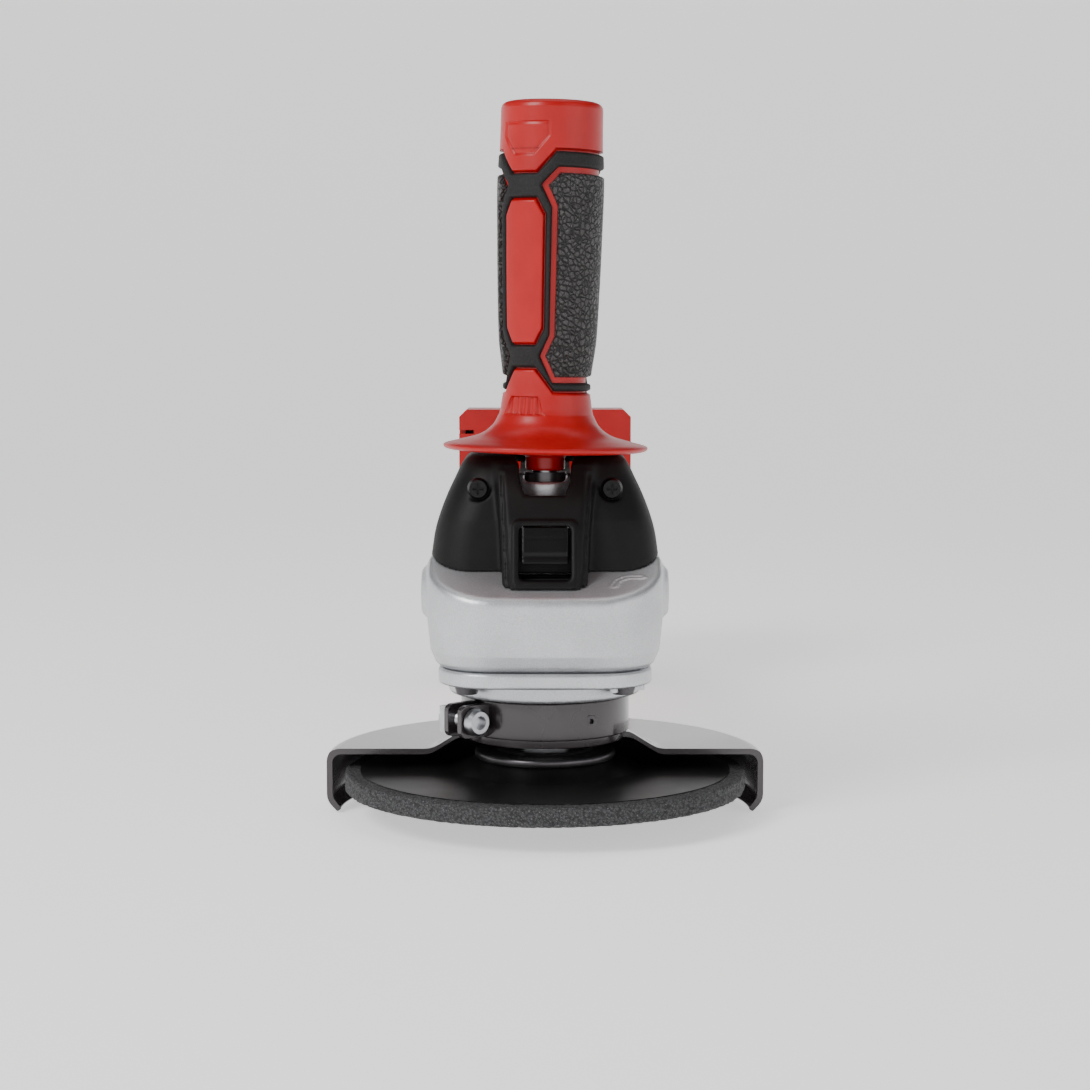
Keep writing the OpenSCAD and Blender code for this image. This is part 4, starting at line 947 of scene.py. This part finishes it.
def make_head_cover():
    """Black cover with its tunnel, button window, handle notch and screw recesses."""
    widths = [(68, 34.9), (78.3, 34.9), (80.5, 34.6), (86.4, 33.7), (92.5, 31.9), (98.1, 29.7),
              (103.6, 27.1), (109.2, 24.6)]
    top = COVER_HIGH[2]

    def outside(p, inset):
        x, y, z = p
        half_width = curve(z, widths) - inset
        front = np.interp(z, [68, 90, 109], [-21.6, -18.0, -12.0]) + inset
        d = front_corner(x, y, half_width, front, 13.0 - inset)
        d = smax(d, z - top + inset, 3.4)
        tunnel_w = np.interp(z, [68, 88, 106], [12.6, 13.6, 15.5]) - inset
        tunnel_y = np.interp(z, [68, 88, 106], [-33.0, -24.5, -14.9]) + inset
        tunnel = front_corner(x, y, tunnel_w, tunnel_y, 3.4 - 0.6 * inset)
        tunnel = smax(tunnel, z - 107.6 + inset, 2.4)
        return smin(d, tunnel, 1.6)

    def field(p):
        x, y, z = p
        d = outside(p, 0.0)
        rim = np.maximum(d - 0.75, rect(x, z, (-9.8, 70.8), (9.8, 90.6), 2.0))
        d = smin(d, np.maximum(rim, y + 20), 0.5)
        groove = np.abs(np.abs(x) - np.interp(z, [70, 106], [11.0, 13.2])) - 0.45
        d = carve(d, np.maximum(np.maximum(groove, -d - 0.55), np.maximum(y + 14, z - 104)), 0.35)
        d = smax(d, y - COVER_HIGH[1], 0.4)
        d = np.maximum(d, -np.maximum(outside(p, 2.4), z - top + 2.4))
        well = np.minimum(box(p, (-10.5, -21.3, 66), (10.5, -19.9, 88)),
                          np.maximum(box(p, (-10, -31, 66), (10, -20, 74.2)), under_top(y, z) - 0.6))
        d = carve(d, rod(p, 2, (0, 0), 9.5, 60, 130), 0.3)
        notch = polygon_distance(x, z, [(-6.0, 97.6), (6.0, 97.6), (7.7, 101.8), (7.9, 106.4),
                                        (8.9, 108.2), (8.9, 130), (-8.9, 130), (-8.9, 108.2),
                                        (-7.9, 106.4), (-7.7, 101.8)])
        d = carve(d, np.maximum(notch, y), 0.7)
        window = rect(x, z, (-7.8, 73.0), (7.8, 88.8), 1.6)
        d = carve(d, np.maximum(window, y + 12), 0.8)
        d = carve(np.minimum(d, well), under_top(y, z) - 0.05, 0.25)
        d = carve(d, rod(p, 1, (0, AXIS_Z), 29.05, FLANGE_FRONT, 60), 0.2)
        d = carve(d, flange_lugs(p, 5.4, FLANGE_FRONT, 60), 0.2)
        for x0 in (-FLANGE_SCREW_X, FLANGE_SCREW_X):
            d = carve(d, rod(p, 1, (x0, FLANGE_SCREW_Z[1]), 3.0, 24, 40), 0.2)
        for x0 in (-COVER_SCREW_X, COVER_SCREW_X):
            d = carve(d, rod(p, 1, (x0, COVER_SCREW_Z), 3.8, -30, -14.4), 0.7)
            d = carve(d, rod(p, 1, (x0, COVER_SCREW_Z), 1.7, -30, -4), 0.2)
        return d

    points, faces = skin(field, COVER_LOW, COVER_HIGH, 0.5)
    add_piece("cover_shell", points, faces, "black_plastic", "root", ["head_cover"])


def make_lock_button():
    """Push button with finger grooves."""
    low, high = span("lock_button")

    def field(p):
        x, y, z = p
        d = polygon_distance(y, z, [(low[1], low[2]), (-22, low[2]), (-22, high[2] - 3),
                                    (-17.2, high[2] - 3), (-17.2, high[2]), (low[1] + 3.6, high[2])])
        d = smax(d, np.abs(x) - high[0], 1.0)
        for z0 in (80.2, 83.0, 85.6):
            d = carve(d, np.hypot(y - low[1] - (0.4 if z0 < 85 else 1.6), z - z0) - 0.75, 0.6)
        d = smin(d, rod(p, 2, LOCK_PIN, 4.2, high[2] - 3, high[2]), 0.3)
        return carve(d, rod(p, 2, LOCK_PIN, 2.25, high[2] - 4, high[2] + 2), 0.2)

    points, faces = skin(field, low, high, 0.28)
    add_piece("button_cap", points, faces, "smooth_black", "lock_button", ["lock_button"])


# ---------------------------------------------------------------- other nodes

KEPT_FINISH = {"head_cover_screws": "smooth_black", "switch_knob": "smooth_black"}
EDGE_WIDTHS = {"battery_foot": 0.9, "battery_case": 0.9, "switch_knob": 0.5, "battery_latch": 0.6}


def dress_nodes():
    """Gives every node that no piece replaces the finish of its slot."""
    for node, slot in NODE_SLOTS.items():
        piece = frame["nodes"][node]
        piece.data.materials.clear()
        piece.data.materials.append(finish_of(KEPT_FINISH.get(node, slot)))


def soften_nodes():
    """Rounds the edges of the plain blocks among the kept nodes."""
    for node, width in EDGE_WIDTHS.items():
        round_edges(frame["nodes"][node], width)


# ---------------------------------------------------------------- guard and clamp band

CLAMP_TURN = 40.0  # where the band's ears stand, in degrees from the left towards the front
CLAMP_SCREW_REACH = 31.6


def turned(points, degrees):
    """Points turned about the spindle."""
    a = math.radians(degrees)
    x, y, z = np.asarray(points, float).T
    return np.column_stack([x * math.cos(a) - y * math.sin(a), x * math.sin(a) + y * math.cos(a), z])


def make_guard():
    """Half guard of pressed sheet with a rolled lip, and its collar."""
    low, high = span("guard")
    rim, foot = high[0], low[2]
    top, sheet, lip, neck = foot + 20.1, 1.8, 3.6, 23.05
    outer = [(neck, top + 5.5), (26.5, top + 5.5), (31, top + 2.7), (35.4, top), (rim - 3.2, top),
             (rim - 0.9, top - 0.9), (rim, top - 3.2), (rim, foot + lip), (rim - lip + 0.3, foot + 0.1)]
    inner = [(rim - lip - 1, foot + 1), (rim - sheet, foot + lip + 1), (rim - sheet, top - 3.4),
             (rim - 3.4, top - sheet), (36, top - sheet), (31.6, top + 2.7 - sheet),
             (27, top + 5.5 - sheet), (neck, top + 5.5 - sheet)]
    radii = [0.2, 2.5, 2.5, 2.5, 1.2, 1.2, 1.2, 2.2, 0.5, 0.5, 1.5, 1.2, 1.2, 2, 2, 2, 0.2]
    plate = lathe(rounded(outer + inner, radii, 3), turn=180.0, steps=150)
    collar_top = span("bearing_cover")[0][2] + 14.4
    collar = lathe(rounded([(neck, top + 4.2), (24.6, top + 4.2), (24.6, collar_top),
                            (neck, collar_top)], 0.35, 3), steps=144)
    points, faces = joined(plate, collar)
    guard = add_piece("guard_sheet", points, faces, "guard_lacquer", "guard_group", ["guard"],
                      angle=38)
    outward(guard)


def make_clamp_band():
    """Sprung band with two upright ears."""
    low, high = span("clamp_band")
    inner, outer, z0, z1 = 24.62, 26.2, low[2], high[2]
    ear_reach, ear_far, ear_near = 11.9, 4.25, 2.25
    opening = math.degrees(math.asin(ear_near / inner))
    band = lathe(rounded([(inner, z0), (outer, z0), (outer, z1), (inner, z1)], 0.5, 3),
                 turn=360.0 - 2 * opening, start=180.0 + CLAMP_TURN + opening, steps=150)
    parts = [band]
    for side in (-1, 1):
        outline = rounded([(-inner - ear_reach, z0 + 0.7), (-inner - 0.4, z0 + 0.7),
                           (-inner - 0.4, z1 - 0.7), (-inner - ear_reach, z1 - 0.7)],
                          [2.6, 0.3, 0.3, 2.6], 6)
        y0, y1 = sorted((side * ear_near, side * ear_far))
        points, faces = prism(outline, y0, y1)
        parts.append((turned(points, CLAMP_TURN), faces))
    points, faces = joined(*parts)
    band = add_piece("band_strip", points, faces, "guard_lacquer", "guard_group", ["clamp_band"],
                     angle=38)
    round_edges(outward(band), 0.35, 2)


def make_clamp_screw():
    """Screw of the clamp band with a round socket in its head."""
    place_along = 4.65
    low, high = span("clamp_screw")
    length, shank, head, head_height = 15.0, 2.5, 4.25, 2.8
    outline = [(0.02, 0)] + [(shank - 0.3 * (i % 2), 0.3 + 0.5 * i) for i in range(28)]
    outline += [(shank, length), (head, length), (head, length + head_height * 0.6),
                (head - 0.9, length + head_height), (2.1, length + head_height),
                (2.0, length + 1.0), (0.02, length + 1.0)]
    points, faces = lathe(outline, steps=72)
    height = (low[2] + high[2]) / 2
    x, y, z = points.T
    points = np.column_stack([x - CLAMP_SCREW_REACH, length - place_along - z, y + height])
    screw = add_piece("band_bolt", turned(points, CLAMP_TURN), faces, "bright_steel", "clamp_screw",
                      ["clamp_screw"], angle=35)
    outward(screw)


# ---------------------------------------------------------------- stage

FLOOR_GAP = 0.0003
LIGHT_TARGET = Vector((0.0, 0.0, 0.09))


def make_bowl(level_radius):
    """Pale floor that runs level under the tool and then curves up round it."""
    floor_z = CAD_BOX[0].z - FLOOR_GAP
    profile = [(0.001, floor_z)] + [(r, floor_z) for r in np.linspace(0.1, level_radius, 14)]
    rise = level_radius * 0.9
    profile += [(level_radius + rise * math.sin(a), floor_z + rise * (1 - math.cos(a)))
                for a in np.radians(np.linspace(5, 80, 16))]
    steps = 96
    angles = 2 * math.pi * np.arange(steps) / steps
    points = [(r * math.cos(a), r * math.sin(a), z) for a in angles for r, z in profile]
    count = len(profile)
    faces = [(i * count + j, ((i + 1) % steps) * count + j, ((i + 1) % steps) * count + j + 1,
              i * count + j + 1) for i in range(steps) for j in range(count - 1)]
    mesh = bpy.data.meshes.new("studio_bowl")
    mesh.from_pydata(points, [], faces)
    mesh.flip_normals()
    mesh.shade_smooth()
    bowl = bpy.data.objects.new("studio_bowl", mesh)
    mesh.materials.append(finish_of("pale_floor"))
    bpy.context.collection.objects.link(bowl)


def make_air(strength):
    """Even white light from all round."""
    world = bpy.data.worlds.new("studio_air")
    world.use_nodes = True
    air = world.node_tree.nodes["Background"]
    air.inputs["Color"].default_value = (1.0, 1.0, 1.0, 1.0)
    air.inputs["Strength"].default_value = strength
    bpy.context.scene.world = world


def make_lamps(studio):
    """Soft square lamps that face the tool."""
    for name, place, size, power in (
            ("key_light", (-0.8, -0.75, 0.95), 0.55, studio.key_power),
            ("fill_light", (1.0, -0.8, 0.6), 1.0, studio.fill_power),
            ("top_light", (0.0, 0.25, 1.5), 1.2, studio.top_power),
            ("low_light", (0.1, -1.15, 0.12), 0.5, studio.low_power)):
        light = bpy.data.lights.new(name, "AREA")
        light.shape = "SQUARE"
        light.size = size
        light.energy = power
        lamp = bpy.data.objects.new(name, light)
        lamp.location = place
        lamp.rotation_euler = (LIGHT_TARGET - Vector(place)).to_track_quat("-Z", "Y").to_euler()
        lamp.visible_camera = False
        bpy.context.collection.objects.link(lamp)


def make_camera(studio):
    """Camera in front of the head, a little above its middle."""
    camera = bpy.data.objects.new("studio_camera", bpy.data.cameras.new("studio_camera"))
    camera.data.lens = studio.lens
    camera.data.sensor_width = 36.0
    camera.data.clip_start = 0.01
    camera.data.dof.use_dof = False
    camera.location = (0.0, -studio.camera_distance, studio.camera_height)
    camera.rotation_euler = (math.pi / 2 - studio.camera_pitch, 0.0, 0.0)
    bpy.context.collection.objects.link(camera)
    bpy.context.scene.camera = camera


def make_stage(studio):
    """Floor, lights and camera."""
    make_bowl(studio.bowl_radius)
    make_air(studio.air_strength)
    make_lamps(studio)
    make_camera(studio)


# ---------------------------------------------------------------- settings

def colour_setting(name, description, default):
    """A colour setting."""
    return FloatVectorProperty(name=name, description=description, subtype="COLOR", size=3,
                               min=0.0, max=1.0, default=default)


class GrinderColours(bpy.types.PropertyGroup):
    """Base colours of the finishes."""
    silver: colour_setting("Silver", "Paint of the gear housing", (0.6, 0.61, 0.63))
    black: colour_setting("Black", "Moulded black plastic", (0.004, 0.0038, 0.0038))
    red: colour_setting("Red", "Moulded red plastic", (0.42, 0.003, 0.004))
    grip: colour_setting("Grip", "Soft grip", (0.022, 0.02, 0.02))
    lacquer: colour_setting("Lacquer", "Lacquer of the guard", (0.035, 0.028, 0.031))
    steel: colour_setting("Steel", "Turned steel", (0.55, 0.56, 0.58))
    blackened: colour_setting("Blackened steel", "Blackened steel", (0.1, 0.095, 0.1))
    grit: colour_setting("Grit", "Grains of the disc", (0.04, 0.04, 0.042))
    floor: colour_setting("Floor", "Studio floor", (0.9, 0.9, 0.9))


class GrinderSizes(bpy.types.PropertyGroup):
    """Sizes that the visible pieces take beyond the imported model."""
    window_turn: FloatProperty(
        name="Window turn", description="Turn of the handle's red windows from straight ahead",
        subtype="ANGLE", default=math.radians(-32.0))
    handle_lean: FloatProperty(
        name="Handle lean", description="Lean of the side handle from the spindle's axis",
        subtype="ANGLE", default=math.radians(1.15))
    grain_depth: FloatProperty(
        name="Grain depth", description="How deep the disc's rim is roughened, in millimetres",
        default=0.55, min=0.0, max=1.0)


class GrinderStudio(bpy.types.PropertyGroup):
    """Camera and lights."""
    camera_distance: FloatProperty(
        name="Camera distance", description="Distance in front of the spindle", unit="LENGTH",
        default=0.711)
    camera_height: FloatProperty(
        name="Camera height", description="Height above the spindle's end", unit="LENGTH",
        default=0.1453)
    camera_pitch: FloatProperty(
        name="Camera pitch", description="How far the camera looks down", subtype="ANGLE",
        default=math.radians(5.17))
    lens: FloatProperty(name="Lens", description="Focal length in millimetres", default=75.96)
    bowl_radius: FloatProperty(
        name="Bowl radius", description="Radius of the floor's level part", unit="LENGTH",
        default=1.3)
    air_strength: FloatProperty(
        name="Air strength", description="Strength of the light from all round", default=0.12)
    key_power: FloatProperty(name="Key power", description="Main light", unit="POWER", default=13.0)
    fill_power: FloatProperty(name="Fill power", description="Side light", unit="POWER", default=2.2)
    top_power: FloatProperty(name="Top power", description="Light above", unit="POWER", default=5.0)
    low_power: FloatProperty(name="Low power", description="Light in front",
                             unit="POWER", default=0.2)


# ---------------------------------------------------------------- operators

class GRINDER_OT_side_handle(bpy.types.Operator):
    """Build the side handle's core and wrap"""
    bl_idname = "grinder.side_handle"
    bl_label = "Side Handle"

    def execute(self, context):
        make_side_handle(context.scene.grinder_sizes)
        return {"FINISHED"}


class GRINDER_OT_disc(bpy.types.Operator):
    """Build the grinding disc with its print and bush"""
    bl_idname = "grinder.disc"
    bl_label = "Grinding Disc"

    def execute(self, context):
        make_disc(context.scene.grinder_sizes)
        return {"FINISHED"}


class GRINDER_OT_flanges(bpy.types.Operator):
    """Build the inner flange, the outer nut and the spindle's thread"""
    bl_idname = "grinder.flanges"
    bl_label = "Flanges"

    def execute(self, _context):
        make_flanges()
        return {"FINISHED"}


class GRINDER_OT_housing(bpy.types.Operator):
    """Build the gear housing"""
    bl_idname = "grinder.housing"
    bl_label = "Gear Housing"

    def execute(self, _context):
        make_housing()
        return {"FINISHED"}


class GRINDER_OT_bearing_cover(bpy.types.Operator):
    """Build the bearing cover"""
    bl_idname = "grinder.bearing_cover"
    bl_label = "Bearing Cover"

    def execute(self, _context):
        make_bearing_cover()
        return {"FINISHED"}


class GRINDER_OT_head_cover(bpy.types.Operator):
    """Build the head's plastic cover"""
    bl_idname = "grinder.head_cover"
    bl_label = "Head Cover"

    def execute(self, _context):
        make_head_cover()
        return {"FINISHED"}


class GRINDER_OT_lock_button(bpy.types.Operator):
    """Build the spindle lock's button"""
    bl_idname = "grinder.lock_button"
    bl_label = "Lock Button"

    def execute(self, _context):
        make_lock_button()
        return {"FINISHED"}


class GRINDER_OT_guard(bpy.types.Operator):
    """Build the guard, its clamp band and the band's bolt"""
    bl_idname = "grinder.guard"
    bl_label = "Guard"

    def execute(self, _context):
        make_guard()
        make_clamp_band()
        make_clamp_screw()
        return {"FINISHED"}


class GRINDER_OT_nodes(bpy.types.Operator):
    """Give the remaining nodes their finishes and soft edges"""
    bl_idname = "grinder.nodes"
    bl_label = "Remaining Nodes"

    def execute(self, _context):
        dress_nodes()
        soften_nodes()
        return {"FINISHED"}


class GRINDER_OT_stage(bpy.types.Operator):
    """Set up the floor, lights and camera"""
    bl_idname = "grinder.stage"
    bl_label = "Studio"

    def execute(self, context):
        make_stage(context.scene.grinder_studio)
        return {"FINISHED"}


BUILDERS = (GRINDER_OT_side_handle, GRINDER_OT_disc, GRINDER_OT_flanges, GRINDER_OT_housing,
            GRINDER_OT_bearing_cover, GRINDER_OT_head_cover, GRINDER_OT_lock_button,
            GRINDER_OT_guard, GRINDER_OT_nodes, GRINDER_OT_stage)


class GRINDER_PT_panel(bpy.types.Panel):
    """Sidebar panel that lists the builders"""
    bl_idname = "GRINDER_PT_panel"
    bl_label = "Angle Grinder"
    bl_space_type = "VIEW_3D"
    bl_region_type = "UI"
    bl_category = "Grinder"

    def draw(self, context):
        column = self.layout.column()
        for builder in BUILDERS:
            column.operator(builder.bl_idname)
        for settings in (context.scene.grinder_colours, context.scene.grinder_sizes,
                         context.scene.grinder_studio):
            for name in settings.__annotations__:
                column.prop(settings, name)


SETTINGS = {"grinder_colours": GrinderColours, "grinder_sizes": GrinderSizes,
            "grinder_studio": GrinderStudio}
CLASSES = (*SETTINGS.values(), *BUILDERS, GRINDER_PT_panel)


def register():
    """Adds the settings, operators and panel."""
    for cls in CLASSES:
        bpy.utils.register_class(cls)
    for name, cls in SETTINGS.items():
        setattr(bpy.types.Scene, name, PointerProperty(type=cls))


def unregister():
    """Takes them away again."""
    for name in SETTINGS:
        delattr(bpy.types.Scene, name)
    for cls in reversed(CLASSES):
        bpy.utils.unregister_class(cls)


def main():
    """Builds every piece in order."""
    register()
    for builder in BUILDERS:
        group, name = builder.bl_idname.split(".")
        if getattr(getattr(bpy.ops, group), name)() != {"FINISHED"}:
            raise RuntimeError(builder.bl_label + " was not finished")


if __name__ == "__main__":
    main()
